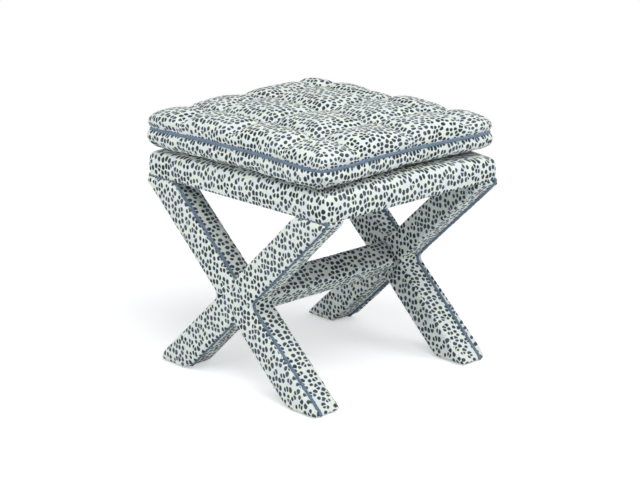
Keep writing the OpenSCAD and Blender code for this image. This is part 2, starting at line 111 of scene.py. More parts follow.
class Shader:
    """Builds the nodes of a material or the world. Inputs are values, or outputs of earlier calls."""

    def __init__(self, owner, kind="Material"):
        self.owner = owner
        owner.use_nodes = True
        self.tree = owner.node_tree
        self.tree.nodes.clear()
        self.output = self.tree.nodes.new("ShaderNodeOutput" + kind)

    def add(self, kind, inputs, output=0, **settings):
        made = self.tree.nodes.new("ShaderNode" + kind)
        for key, value in settings.items():
            setattr(made, key, value)
        for key, value in inputs.items():
            if isinstance(value, bpy.types.NodeSocket):
                self.tree.links.new(value, made.inputs[key])
            else:
                made.inputs[key].default_value = value
        return made.outputs[output]

    def math(self, operation, a, b=0.0, c=0.0):
        return self.add("Math", {0: a, 1: b, 2: c}, operation=operation)

    def vector(self, operation, a, b):
        return self.add("VectorMath", {0: a, 1: b}, operation=operation)

    def mix(self, share, a, b):
        return self.add("Mix", {0: share, 6: a, 7: b}, output=2, data_type="RGBA")

    def remap(self, value, low, high, to_low, to_high):
        wanted = {0: value, 1: low, 2: high, 3: to_low, 4: to_high}
        return self.add("MapRange", wanted, interpolation_type="SMOOTHSTEP")

    def noise(self, place, scale, detail=2.0, output="Fac"):
        return self.add("TexNoise", {"Vector": place, "Scale": scale, "Detail": detail}, output=output)

    def uv(self):
        return self.add("TexCoord", {}, output="UV")

    def place(self):
        return self.add("TexCoord", {}, output="Object")

    def bump(self, height, distance, strength=1.0, below=None):
        wanted = {"Height": height, "Distance": distance, "Strength": strength}
        if below is not None:
            wanted["Normal"] = below
        return self.add("Bump", wanted)

    def split(self, vector):
        """X and Y of a vector."""
        across = self.add("SeparateXYZ", {"Vector": vector})
        return across, across.node.outputs[1]

    def vary(self, value, low, high, first, second):
        """The first colour where a value is low, turning to the second where it is high."""
        return self.mix(self.remap(value, low, high, 0.0, 1.0), first, second)

    def show(self, surface):
        """Makes this the surface that shows, and gives back what the nodes belong to."""
        self.tree.links.new(surface, self.output.inputs["Surface"])
        return self.owner

    def finish(self, **inputs):
        """The material with these inputs, where Base_Color stands for Base Color."""
        wanted = {key.replace("_", " "): value for key, value in inputs.items()}
        return self.show(self.add("BsdfPrincipled", wanted))


def new_shader(name):
    return Shader(bpy.data.materials.new(name))


# Printed cloth: how far apart its spots are, and their sizes and scatter as shares of that
SPOT_PITCH = (10.0 * MM, 12.6 * MM)
SPOT_SHARE = 0.395
SPOT_LEAST = 0.84
SPOT_MOST = 1.14
SPOT_GAP = 0.095
SPOT_SCATTER = 0.72
SPOT_ROUNDING = 0.1
SPOT_EDGE = (-0.06, 0.05)
SPOT_WANDER = 2.4 * MM

# How blue the spots are: between which values of a broad noise, between which shares, and by what chance
BLUE_AT = (0.38, 0.62)
BLUE_SHARES = (0.1, 0.95)
BLUE_CHANCE = 0.6

# Between which values of their noise the other colours turn from one to the next
GROUND_AT = (0.38, 0.64)
TONES_AT = (0.3, 0.7)
GRAIN_AT = (0.35, 0.65)

# Noise, in waves a metre, and pitch and depth of the relief
WANDER_SCALE = 120.0
BLUE_SCALE = 9.0
GROUND_SCALE = 42.0
CREASE_SCALE = 60.0
CREASE_D = 1.2 * MM
SLUB_SCALE = 900.0
SLUB_SHARE = 1.2
THREAD = 0.55 * MM
THREAD_D = 0.06 * MM
RIB = 0.9 * MM
RIB_D = 0.08 * MM
MOTTLE_SCALE = 260.0
WELT_CREASE_SCALE = 120.0
WELT_CREASE_D = 0.7 * MM
GRAIN_SCALE = 60.0
GRAIN_D = 0.3 * MM

# Colours of the cloths
GROUND_COOL = linear((226, 233, 233))
GROUND_WARM = linear((232, 238, 226))
SPOT_DARK = linear((44, 53, 58))
SPOT_BLUE = linear((88, 99, 113))
WELT_DARK = linear((90, 110, 132))
WELT_PALE = linear((124, 145, 166))


def spots(shader, place):
    """(mask, random colour) of the printed spots: one in each cell of an uneven grid, clear of its edges."""
    scaled = shader.vector("DIVIDE", place, (SPOT_PITCH[0], SPOT_PITCH[1], 1.0))
    wanted = {"Vector": scaled, "Scale": 1.0, "Randomness": SPOT_SCATTER}
    distance = shader.add("TexVoronoi", wanted, output="Distance", voronoi_dimensions="2D")
    colour = distance.node.outputs["Color"]
    chance = shader.add("SeparateColor", {"Color": colour}, output=0)
    reach = shader.remap(chance, 0.0, 1.0, SPOT_SHARE * SPOT_LEAST, SPOT_SHARE * SPOT_MOST)
    inside = shader.math("SUBTRACT", reach, distance)
    to_edge = shader.add("TexVoronoi", wanted, output="Distance", voronoi_dimensions="2D",
                         feature="DISTANCE_TO_EDGE")
    clear = shader.math("SUBTRACT", to_edge, SPOT_GAP)
    depth = shader.math("SMOOTH_MIN", inside, clear, SPOT_ROUNDING)
    return shader.remap(depth, *SPOT_EDGE, 0.0, 1.0), colour


def printed_cloth():
    """Dark and bluish spots on a pale ground, with a plain weave and soft creases."""
    shader = new_shader("printed_cloth")
    uv = shader.uv()
    drift = shader.noise(uv, WANDER_SCALE, detail=1.0, output="Color")
    wander = shader.vector("SUBTRACT", drift, (0.5, 0.5, 0.5))
    pushed = shader.vector("MULTIPLY", wander, (SPOT_WANDER, SPOT_WANDER, 0.0))
    mask, colour = spots(shader, shader.vector("ADD", pushed, uv))
    chance = shader.add("SeparateColor", {"Color": colour}, output=1)
    each = shader.math("MULTIPLY_ADD", chance, BLUE_CHANCE, 1 - BLUE_CHANCE)
    broad = shader.remap(shader.noise(uv, BLUE_SCALE), *BLUE_AT, *BLUE_SHARES)
    spot = shader.mix(shader.math("MULTIPLY", broad, each), SPOT_DARK, SPOT_BLUE)
    ground = shader.vary(shader.noise(uv, GROUND_SCALE), *GROUND_AT, GROUND_COOL, GROUND_WARM)
    printed = shader.mix(mask, ground, spot)
    across, along = shader.split(uv)
    turns = 2 * math.pi / THREAD
    weft = shader.math("SINE", shader.math("MULTIPLY", across, turns))
    warp = shader.math("SINE", shader.math("MULTIPLY", along, turns))
    weave = shader.math("MULTIPLY", weft, warp)
    slub = shader.math("MULTIPLY_ADD", shader.noise(uv, SLUB_SCALE, detail=3.0), SLUB_SHARE, weave)
    crease = shader.bump(shader.noise(uv, CREASE_SCALE, detail=4.0), CREASE_D, strength=0.35)
    threads = shader.bump(slub, THREAD_D, strength=0.5, below=crease)
    return shader.finish(Base_Color=printed, Roughness=0.88, Normal=threads, Sheen_Weight=0.1,
                         Sheen_Roughness=0.45, Specular_IOR_Level=0.14)


def welt_cloth():
    """The welts' plain blue twill."""
    shader = new_shader("welt_cloth")
    uv = shader.uv()
    slant = shader.math("ADD", *shader.split(uv))
    rib = shader.math("SINE", shader.math("MULTIPLY", slant, 2 * math.pi / RIB))
    colour = shader.vary(shader.noise(uv, MOTTLE_SCALE, detail=3.0), *TONES_AT, WELT_DARK, WELT_PALE)
    crease = shader.bump(shader.noise(uv, WELT_CREASE_SCALE), WELT_CREASE_D, strength=0.5)
    twill = shader.bump(rib, RIB_D, strength=0.6, below=crease)
    return shader.finish(Base_Color=colour, Roughness=0.85, Normal=twill, Sheen_Weight=0.15,
                         Specular_IOR_Level=0.2)


def wood(name, pale, dark, stretch):
    """Plain wood. stretch scales the places along each axis, so the grain runs along the least of them."""
    shader = new_shader(name)
    place = shader.vector("MULTIPLY", shader.place(), stretch)
    grain = shader.noise(place, GRAIN_SCALE, detail=5.0)
    colour = shader.vary(grain, *GRAIN_AT, linear(pale), linear(dark))
    relief = shader.bump(grain, GRAIN_D, strength=0.4)
    return shader.finish(Base_Color=colour, Roughness=0.62, Normal=relief)


def speckled(name, first, second, scale, roughness, metallic=0.0, relief_mm=0.1):
    """A plain material whose colour and surface vary a little."""
    shader = new_shader(name)
    grain = shader.noise(shader.place(), scale, detail=3.0)
    colour = shader.vary(grain, *TONES_AT, linear(first), linear(second))
    relief = shader.bump(grain, relief_mm * MM, strength=0.5)
    return shader.finish(Base_Color=colour, Roughness=roughness, Metallic=metallic, Normal=relief)


# Mesh building


class Patches:
    """Collects sheets of quads with their own flat-pattern coordinates, then sews them into one mesh."""

    def __init__(self):
        self.points = []
        self.flat = []
        self.faces = []

    def sheet(self, points, flat, flip=False):
        """points and flat are arrays of rows and columns. flip turns the faces over."""
        rows, columns = points.shape[:2]
        first = len(self.points)
        self.points.extend(points.reshape(-1, 3).tolist())
        self.flat.extend(flat.reshape(-1, 2).tolist())
        for r in range(rows - 1):
            for c in range(columns - 1):
                a = first + r * columns + c
                quad = [a, a + 1, a + 1 + columns, a + columns]
                self.faces.append(quad[::-1] if flip else quad)

    def build(self, name, weld=0.05 * MM):
        mesh = bpy.data.meshes.new(name)
        mesh.from_pydata(self.points, [], self.faces)
        layer = mesh.uv_layers.new(name="flat")
        corner_points = np.zeros(len(mesh.loops), dtype=np.int32)
        mesh.loops.foreach_get("vertex_index", corner_points)
        layer.data.foreach_set("uv", np.array(self.flat)[corner_points].ravel())
        made = bmesh.new()
        made.from_mesh(mesh)
        bmesh.ops.remove_doubles(made, verts=made.verts, dist=weld)
        bmesh.ops.dissolve_degenerate(made, dist=weld / 10, edges=made.edges)
        bmesh.ops.recalc_face_normals(made, faces=made.faces)
        made.to_mesh(mesh)
        made.free()
        mesh.shade_smooth()
        piece = bpy.data.objects.new(name, mesh)
        bpy.context.scene.collection.objects.link(piece)
        return piece


def get_points(piece):
    flat = np.zeros(len(piece.data.vertices) * 3)
    piece.data.vertices.foreach_get("co", flat)
    return flat.reshape(-1, 3)


def set_points(piece, points):
    piece.data.vertices.foreach_set("co", points.ravel())
    piece.data.update()


def get_normals(piece):
    flat = np.zeros(len(piece.data.vertices) * 3)
    piece.data.vertex_normals.foreach_get("vector", flat)
    return flat.reshape(-1, 3)


def push_out(piece, push):
    """Moves each point of a piece along its normal by its own push."""
    set_points(piece, get_points(piece) + get_normals(piece) * push[:, None])


def apply_modifiers(piece):
    """Bakes the piece's modifiers into its mesh."""
    graph = bpy.context.evaluated_depsgraph_get()
    mesh = bpy.data.meshes.new_from_object(piece.evaluated_get(graph))
    piece.modifiers.clear()
    piece.data = mesh


def subdivide(piece):
    modifier = piece.modifiers.new("smooth", "SUBSURF")
    modifier.levels = 1
    modifier.render_levels = 1
    apply_modifiers(piece)


def ripple(points, scale, seed):
    """Smooth noise from -1 to 1 at each point, with bumps about 1 / scale apart."""
    shift = Vector((seed * 7.31, seed * 3.17, seed * 5.73))
    return np.array([noise.noise(Vector(p) * scale + shift) for p in points])


def creases(points, seed, stretch):
    """Soft random creases in millimetres: broad waves, and a few finer ridges."""
    pulled = points * np.array(stretch)
    broad = ripple(pulled, scale=14, seed=seed)
    ridges = 1 - np.abs(ripple(pulled, scale=38, seed=seed + 1)) * 2
    fine = ripple(pulled, scale=90, seed=seed + 2)
    return 0.7 * broad + 0.35 * ridges + 0.18 * fine


def wrinkle(piece, seed, amount, stretch=(1, 1, 1), keep=None):
    """Moves the surface along its normals by soft creases. keep gives the share to apply at each point."""
    points = get_points(piece)
    push = creases(points, seed, stretch) * amount * MM
    if keep is not None:
        push = push * keep(points)
    push_out(piece, push)


def unit(vectors):
    """The same vectors with a length of one."""
    return vectors / np.linalg.norm(vectors, axis=-1, keepdims=True)


def ramp(values, length):
    """0 for values below zero, 1 for values above a length, and an even rise between."""
    return np.clip(values / length, 0, 1)


def circle(turn):
    return np.array([math.cos(turn), math.sin(turn)])


def quarter_signs(quarter):
    """Signs of the two coordinates in each quarter of a turn."""
    return np.array([1 if quarter in (0, 3) else -1, 1 if quarter < 2 else -1])


def from_lines(places, lines):
    """For places in a plane: distance to the nearest of some straight lines, and the way out from it."""
    nearest = np.full(len(places), 1.0)
    out = np.zeros((len(places), 2))
    for a, b in lines:
        along = b - a
        share = ramp((places - a) @ along, along @ along)
        away = places - a - share[:, None] * along
        length = np.linalg.norm(away, axis=1)
        nearer = length < nearest
        nearest[nearer] = length[nearer]
        out[nearer] = away[nearer] / np.maximum(length[nearer], TINY)[:, None]
    return nearest, out


def lengths_along(points):
    steps = np.linalg.norm(np.diff(points, axis=0), axis=1)
    return np.concatenate([[0], np.cumsum(steps)])


def resample(points, count, shares=None):
    """count + 1 points evenly along a polyline, or one at each of the shares of its length."""
    run = lengths_along(points)
    wanted = run[-1] * (np.linspace(0, 1, count + 1) if shares is None else shares)
    return np.stack([np.interp(wanted, run, points[:, k]) for k in range(points.shape[1])], axis=1)


def dress(piece, material, slot, *nodes):
    """Gives a finished piece its material and body, and hides the nodes that it stands for. slot is not used.
    """
    piece.data.materials.clear()
    piece.data.materials.append(material)
    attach(piece, "root")
    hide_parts(*nodes)


TUBE_STEP = 2.2 * MM
TUBE_SIDES = 12
TUBE_END_TURNS = (30, 60, 88)
TUBE_SWELL = 0.05
TUBE_SWELL_SCALE = 90
LEAST_SIDEWAYS = 0.3
WELD = 0.01 * MM


def tube(name, path, radius, closed, seed):
    """A cord along a path, with a cloth cover that is a little uneven, and round ends if it is open."""
    if closed:
        path = np.vstack([path, path[:1]])
    centre = resample(path, int(lengths_along(path)[-1] / TUBE_STEP))
    if closed:
        ahead = np.roll(centre[:-1], -1, axis=0) - np.roll(centre[:-1], 1, axis=0)
        tangent = np.vstack([ahead, ahead[:1]])
    else:
        tangent = np.gradient(centre, axis=0)
    tangent = unit(tangent)
    side = np.cross(tangent, (0.0, 0.0, 1.0))
    if np.linalg.norm(side, axis=1).min() <= LEAST_SIDEWAYS:
        side = np.cross(tangent, (1.0, 0.0, 0.0))
    side = unit(side)
    upward = np.cross(side, tangent)
    run = lengths_along(centre)
    swell = 1 + TUBE_SWELL * ripple(centre, TUBE_SWELL_SCALE, seed)
    rows = [(centre[k], swell[k] * radius, run[k]) for k in range(len(centre))]
    frames = [(side[k], upward[k]) for k in range(len(centre))]
    if not closed:
        for end, way in ((0, -1), (len(centre) - 1, 1)):
            for turn in TUBE_END_TURNS:
                bow = math.radians(turn)
                place = centre[end] + way * tangent[end] * radius * math.sin(bow)
                row = (place, swell[end] * radius * math.cos(bow), run[end] + way * radius * bow)
                at = 0 if way < 0 else len(rows)
                rows.insert(at, row)
                frames.insert(at, (side[end], upward[end]))
    turns = np.linspace(0, 2 * math.pi, TUBE_SIDES + 1)
    points = np.zeros((len(rows), TUBE_SIDES + 1, 3))
    flat = np.zeros((len(rows), TUBE_SIDES + 1, 2))
    for k, ((place, r, length), (out, up)) in enumerate(zip(rows, frames)):
        points[k] = place + r * (np.cos(turns)[:, None] * out + np.sin(turns)[:, None] * up)
        flat[k, :, 0] = turns * radius
        flat[k, :, 1] = length
    made = Patches()
    made.sheet(points, flat)
    return made.build(name, weld=WELD)


# Crossed frames

FOOT_Y = FOOT_REACH - FOOT_LEN / 2
TOP_Y = HALF_D - FOOT_LEN / 2
LEG_SLOPE = (FOOT_Y + TOP_Y) / (DECK_UNDER - SOLE_Z)
CROSS_DROP = 3 * MM
CROSS_Z = SOLE_Z + FOOT_Y / LEG_SLOPE - CROSS_DROP
NOTCH_RISE = FOOT_LEN / 2 / LEG_SLOPE
HALF_LEG = FOOT_LEN / 2 * math.sin(math.atan(1 / LEG_SLOPE))
NOTCH_R = 10 * MM
SIDE_NOTCH_R = 16 * MM
TIP_R = 3 * MM
TIP_PROUD = 6 * MM
TOP_NARROWING = 6 * MM
TOP_INNER_R = 4 * MM
SOLE_TIP_R = 3 * MM
HEEL_R = 9 * MM
SOLE_EDGE_R = 2 * MM
SOLE_FLATTENING = 0.05
INNER_EDGE_R = 3.5 * MM
INNER_PROUD = (11 * MM, 3 * MM, 0)
FOOT_SETBACK = 7 * MM
PANEL_EDGE_R = 8 * MM
PANEL_POWER = 3
PANEL_EDGE_SHARE = 0.88
PANEL_BULGE = 4.5 * MM
LOW_BULGE = 2 * MM
FRAME_BOW = 2.5 * MM
TOP_LIFT = 3 * MM
WELT_BACK = 3.4 * MM
WELT_OUT = 1 * MM
WELT_WANDER = 0.4 * MM
WELT_WANDER_SCALE = 40
WELT_TOP_RUN = 20 * MM
SOLE_FADE = 14 * MM
LEAST_R = 0.01 * MM
BULGE_POWER = 0.35
ROLL_STEPS = 60
CORNER_POINTS = 7
WALL_STEPS = 10
WALL_BOW = 1.3 * MM
WRINKLE_FADE = 12 * MM
MIRROR = np.array([-1, 1])


def half_corner(corner, other, toward, radius):
    """The half of a rounded corner that leads from its middle to the edge that runs toward a point."""
    to_other = unit(other - corner)
    to_next = unit(toward - corner)
    half = math.acos(np.clip(to_other @ to_next, -1, 1)) / 2
    middle = unit(to_other + to_next)
    centre = corner + middle * radius / math.sin(half)
    square = unit(to_next - middle * (to_next @ middle))
    turns = np.linspace(0, math.pi / 2 - half, CORNER_POINTS)[:, None]
    return centre - middle * radius * np.cos(turns) + square * radius * np.sin(turns)


def edge_curve(before, start, end, after, start_r, end_r, shares):
    """Edge of the outline from one rounded corner's middle to the next one's."""
    leave = half_corner(start, before, end, start_r)
    arrive = half_corner(end, after, start, end_r)[::-1]
    return resample(np.vstack([leave, arrive]), 0, shares)


def fill_between(near, far, first, last, along_shares, across_shares):
    """Sheet between four edge curves: near and far run across, first and last run along."""
    s = along_shares[:, None, None]
    t = across_shares[None, :, None]
    along = (1 - t) * first[:, None] + t * last[:, None]
    across = (1 - s) * near[None] + s * far[None]
    corners = ((1 - s) * (1 - t) * near[0] + (1 - s) * t * near[-1]
               + s * (1 - t) * far[0] + s * t * far[-1])
    return along + across - corners


ARM_ROWS = np.linspace(0, 1, 45)
ARM_COLUMNS = (1 - np.cos(np.linspace(0, math.pi, 17))) / 2


def between(start, end):
    """Straight way from one point to another, with the arms' columns."""
    share = ARM_COLUMNS[:, None]
    return (1 - share) * start + share * end


def arm_curves(up):
    """Edge curves, in Y and Z, of the arm on the +Y side: outer edge, end, inner edge, and the way across."""
    right = np.array([FOOT_LEN / 2, CROSS_Z])
    top = np.array([0, CROSS_Z + NOTCH_RISE])
    bottom = np.array([0, CROSS_Z - NOTCH_RISE])
    top_tip = np.array([TOP_Y + FOOT_LEN / 2 + TIP_PROUD, DECK_UNDER])
    top_in = np.array([TOP_Y - FOOT_LEN / 2 + TOP_NARROWING, DECK_UNDER])
    foot_tip = np.array([FOOT_Y + FOOT_LEN / 2, SOLE_Z])
    foot_in = np.array([FOOT_Y - FOOT_LEN / 2, SOLE_Z])
    notch, tip, end_in, other_tip, tip_r, inner_r = (
        (top, top_tip, top_in, foot_tip, TIP_R, TOP_INNER_R) if up else
        (bottom, foot_tip, foot_in, top_tip, SOLE_TIP_R, HEEL_R))
    outer = edge_curve(other_tip, right, tip, end_in, SIDE_NOTCH_R, tip_r, ARM_ROWS)
    inner = edge_curve(end_in * MIRROR, notch, end_in, tip, NOTCH_R, inner_r, ARM_ROWS)
    end = edge_curve(right, tip, end_in, notch, tip_r, inner_r, ARM_COLUMNS)
    return outer, end, inner, between(outer[0], inner[0])


def outline_curves():
    """The whole outline as curves in Y and Z, counter-clockwise, each with what it is."""
    up_outer, up_end, up_inner, _ = arm_curves(True)
    down_outer, down_end, down_inner, _ = arm_curves(False)
    right = [("edge", down_inner), ("sole", down_end[::-1]), ("edge", down_outer[::-1]),
             ("edge", up_outer), ("top", up_end), ("edge", up_inner[::-1])]
    left = [(kind, curve[::-1] * MIRROR) for kind, curve in right[::-1]]
    return right + left


OUTLINE = outline_curves()

# The outer panel rolls in along the whole outline but the soles
SEWN_OUTLINE = [row for row in OUTLINE if row[0] != "sole"]
SOLE_ROWS = [k for k, row in enumerate(OUTLINE) if row[0] == "sole"]

# The welts run from sole to sole: over both tops, and between the feet
LONG_RUN = OUTLINE[SOLE_ROWS[0] + 1:SOLE_ROWS[1]]
SHORT_RUN = OUTLINE[SOLE_ROWS[1] + 1:] + OUTLINE[:SOLE_ROWS[0]]


def outline_distance(places, curves=OUTLINE):
    """Distance from each place in Y and Z to these curves of the outline, and the way out to them."""
    lines = [line for _, curve in curves for line in zip(curve[:-1], curve[1:])]
    distance, inward = from_lines(places, lines)
    return distance, -inward


def rounded_drop(distance, radius):
    """How far an edge rounded to this radius falls away, at a distance in from the edge."""
    short = np.clip(radius - distance, 0, radius)
    return radius - np.sqrt(radius ** 2 - short ** 2)


def foot_share(z):
    """0 from the crossing up, and rising to 1 down at the sole."""
    return ramp(CROSS_Z - z, CROSS_Z - SOLE_Z)


def foot_setback(z):
    """How much further in the welts lie at this height than at the crossing."""
    return FOOT_SETBACK * foot_share(z) ** 2


def outer_face(places):
    """How far the outer face stands out from the deck's side, and where it bulges to in Y and Z."""
    distance, out = outline_distance(places, SEWN_OUTLINE)
    edge = ramp(distance, PANEL_EDGE_R)
    roll = (1 - (1 - edge) ** PANEL_POWER) ** (1 / PANEL_POWER)
    inward = ramp(distance, HALF_LEG)
    near_sole = 1 - ramp(places[:, 1] - SOLE_Z, SOLE_FADE)
    drop = rounded_drop(outline_distance(places)[0], SOLE_EDGE_R * near_sole + LEAST_R)
    drop = drop + foot_setback(places[:, 1]) * (1 - roll)
    crown = PANEL_EDGE_SHARE * roll + (1 - PANEL_EDGE_SHARE) * (1 - (1 - inward) ** 2)
    height = CROWN * (1 - SOLE_FLATTENING * near_sole) * crown - drop
    most = PANEL_BULGE + LOW_BULGE * foot_share(places[:, 1])
    bulge = most * (1 - near_sole) * np.sin(math.pi * edge ** BULGE_POWER)
    bulged = places + out * bulge[:, None]
    bulged[:, 1] = np.maximum(bulged[:, 1], SOLE_Z)
    return height, bulged


def roll_arc():
    """Distances in from the outline, and how much longer the way over the panel's edge is than each."""
    distance = np.linspace(0, PANEL_EDGE_R, ROLL_STEPS)
    share = distance / PANEL_EDGE_R
    height = CROWN * PANEL_EDGE_SHARE * (1 - (1 - share) ** PANEL_POWER) ** (1 / PANEL_POWER)
    reach = PANEL_BULGE * np.sin(math.pi * share ** BULGE_POWER) - distance
    arc = lengths_along(np.column_stack([reach, height]))
    return distance, arc[-1] - arc - (PANEL_EDGE_R - distance)


def cloth_places(places):
    """Where the outer face's cloth lies before it is pulled over the panel's edges."""
    distance, out = outline_distance(places, SEWN_OUTLINE)
    extra = np.interp(distance, *roll_arc())
    return places + out * extra[:, None]


def frame_bow(z):
    """How far a frame leans in at this height: the stretcher draws its middle in."""
    above = (z - CROSS_Z) / (DECK_UNDER - CROSS_Z)
    below = (CROSS_Z - z) / (CROSS_Z - SOLE_Z)
    return FRAME_BOW * (1 - np.clip(np.maximum(above, below), 0, 1) ** 2)


def inner_height(places):
    """How far the inner face stands in from its plane: most at the feet. Its edges are rounded away."""
    proud = np.interp(places[:, 1], (SOLE_Z, CROSS_Z, DECK_UNDER), INNER_PROUD)
    return proud - rounded_drop(outline_distance(places)[0], INNER_EDGE_R)


def frame_cover(name, side):
    """Cloth and padding of one crossed frame as one closed skin. side is -1 on the left, 1 on the right."""
    made = Patches()

    def face(sheet, flip):
        places = sheet.reshape(-1, 2)
        shape = sheet.shape[:2]
        height, bulged = outer_face(places)
        outer = np.column_stack([side * (HALF_W + height), bulged])
        inner = np.column_stack([side * (INNER_X - inner_height(places)), places])
        made.sheet(outer.reshape(*shape, 3), cloth_places(places).reshape(*shape, 2), flip)
        made.sheet(inner.reshape(*shape, 3), sheet.copy(), not flip)

    for up in (True, False):
        outer, end, inner, start = arm_curves(up)
        sheet = fill_between(start, end, outer, inner, ARM_ROWS, ARM_COLUMNS)
        face(sheet, False)
        face(sheet * MIRROR, True)
    right = arm_curves(True)[0][0]
    top = arm_curves(True)[2][0]
    bottom = arm_curves(False)[2][0]
    left = right * MIRROR
    edges = between(bottom, right), between(left, top), between(bottom, left), between(right, top)
    face(fill_between(*edges, ARM_COLUMNS, ARM_COLUMNS), True)

    share = np.linspace(0, 1, WALL_STEPS + 1)
    run = 0.0
    for _, curve in OUTLINE:
        outer_x = HALF_W + outer_face(curve)[0]
        inner_x = INNER_X - inner_height(curve)
        x = outer_x[:, None] * (1 - share) + inner_x[:, None] * share
        along = unit(np.gradient(curve, axis=0))
        out = np.stack([along[:, 1], -along[:, 0]], axis=1)
        ends = np.sin(math.pi * np.linspace(0, 1, len(curve)))[:, None] ** 0.5
        bow = WALL_BOW * np.sin(math.pi * share) * ends
        y = curve[:, :1] + out[:, :1] * bow
        z = np.clip(curve[:, 1:] + out[:, 1:] * bow, SOLE_Z, DECK_UNDER)
        reach = run + lengths_along(curve)
        run = reach[-1]
        flat = np.dstack([np.repeat(reach[:, None], WALL_STEPS + 1, axis=1), x])
        made.sheet(np.dstack([side * x, y, z]), flat)
    piece = made.build(name)
    subdivide(piece)

    def keep(found):
        return ramp(np.minimum(found[:, 2] - SOLE_Z, DECK_UNDER - found[:, 2]), WRINKLE_FADE)

    wrinkle(piece, seed=11 + side, amount=0.9, keep=keep)
    fold_crossing(piece)
    sew_crossing(piece, side)
    points = get_points(piece)
    points[:, 0] -= side * frame_bow(points[:, 2])
    set_points(piece, points)
    return piece


FOLD_TURNS = (-34, -12, 15, 38)
FOLD_LENGTH = 46 * MM
FOLD_WIDTH = 2.4 * MM
FOLD_DEPTH = 2.0 * MM
SEAM_WIDTH = 2.6 * MM
SEAM_DEPTH = 3.0 * MM
PLEAT_PITCH = 6 * MM
PLEAT_REACH = 13 * MM
PLEAT_DEPTH = 0.9 * MM
SEAM_BEND = 5 * MM
CROSSING_FADE = 6 * MM
FOLD_BEND = 3 * MM
FOLD_BEND_LENGTH = 14 * MM

# From which share of its normal along X a point counts as on a face, and in what range it comes in
SEAM_FACING = 0.4
FOLD_FACING = 0.5
FACING_RANGE = 0.3


def sew_crossing(piece, side):
    """Presses in the seams where the lapped bar's cloth meets the through bar's inside, with small pleats."""
    points = get_points(piece)
    on_face = ramp(-side * get_normals(piece)[:, 0] - SEAM_FACING, FACING_RANGE)
    half = FOOT_LEN / 2
    seams = (((-half, CROSS_Z), (0, CROSS_Z - NOTCH_RISE)), ((half, CROSS_Z), (0, CROSS_Z + NOTCH_RISE)))
    push = np.zeros(len(points))
    for start, end in seams:
        start, end = np.array(start), np.array(end)
        length = np.linalg.norm(end - start)
        way = unit(end - start)
        away = np.array([way[1], -way[0]])
        if away @ (start - (0, CROSS_Z)) < 0:
            away = -away
        along = (points[:, 1:] - start) @ way
        aside = (points[:, 1:] - start) @ away - SEAM_BEND * np.sin(math.pi * ramp(along, length))
        within = np.clip(1 + np.minimum(along, length - along) / CROSSING_FADE, 0, 1)
        pleats = np.cos(2 * math.pi * along / PLEAT_PITCH) * np.exp(-(aside / PLEAT_REACH) ** 2) * (aside > 0)
        push += within * (PLEAT_DEPTH * pleats - SEAM_DEPTH * np.exp(-(aside / SEAM_WIDTH) ** 2))
    push_out(piece, push * on_face)


def fold_crossing(piece):
    """Presses folds into both faces, fanning out from each notch towards the middle of the crossing."""
    points = get_points(piece)
    on_face = ramp(np.abs(get_normals(piece)[:, 0]) - FOLD_FACING, FACING_RANGE)
    places = points[:, 1:]
    middle = np.array([0, CROSS_Z])
    push = np.zeros(len(points))
    for notch in ((FOOT_LEN / 2, 0), (0, NOTCH_RISE), (-FOOT_LEN / 2, 0), (0, -NOTCH_RISE)):
        start = middle + np.array(notch)
        for turn in FOLD_TURNS:
            heading = math.atan2(-notch[1], -notch[0]) + math.radians(turn)
            way = circle(heading)
            along = (places - start) @ way
            aside = (places - start) @ np.array([-way[1], way[0]])
            aside += FOLD_BEND * np.sin(along / FOLD_BEND_LENGTH)
            fade = (1 - ramp(along, FOLD_LENGTH)) * np.clip(along / CROSSING_FADE + 1, 0, 1)
            push -= FOLD_DEPTH * fade * np.exp(-(aside / FOLD_WIDTH) ** 2)
    push_out(piece, push * on_face)


def frame_welt(name, side, curves, seed):
    """Welt along some of the outline's curves, just behind the outer face's edges."""
    path = np.vstack([curve for _, curve in curves])
    keep = np.concatenate([[True], np.linalg.norm(np.diff(path, axis=0), axis=1) > WELD])
    path = path[keep]
    at_top = np.clip((path[:, 1] - DECK_UNDER) / WELT_TOP_RUN + 1, 0, 1)
    to_tip = ramp(np.abs(path[:, 0]) - TOP_Y + FOOT_LEN / 2, FOOT_LEN)
    z = path[:, 1] + TOP_LIFT * at_top * to_tip ** 2
    back = WELT_BACK + foot_setback(path[:, 1])
    wander = WELT_WANDER * ripple(np.column_stack([path, path[:, 0]]), WELT_WANDER_SCALE, seed)
    x = side * (HALF_W - back + wander) - side * frame_bow(path[:, 1])
    ahead = unit(np.gradient(path, axis=0))
    y = path[:, 0] + WELT_OUT * ahead[:, 1]
    z = np.maximum(z - WELT_OUT * ahead[:, 0] * np.where(at_top > 0, 0, 1), SOLE_Z + WELT_R / 3)
    piece = tube(name, np.column_stack([x, y, z]), WELT_R, closed=False, seed=seed)
    points = get_points(piece)
    points[:, 2] = np.maximum(points[:, 2], SOLE_Z)
    set_points(piece, points)
    return piece


# Stretcher

STRETCHER_CORNER_R = 9 * MM
STRETCHER_PAD = 2.2 * MM
STRETCHER_REACH = 1.5 * MM
STRETCHER_SWELL = 0.03
STRETCHER_ROWS = 90
STRETCHER_RING = 56
QUARTER_STEPS = 8
END_SHARE = 0.01
PUCKER_D = 0.9 * MM
PUCKER_PITCH = 9 * MM
PUCKER_WIDTH = 6 * MM
PUCKER_BEND = 2.2


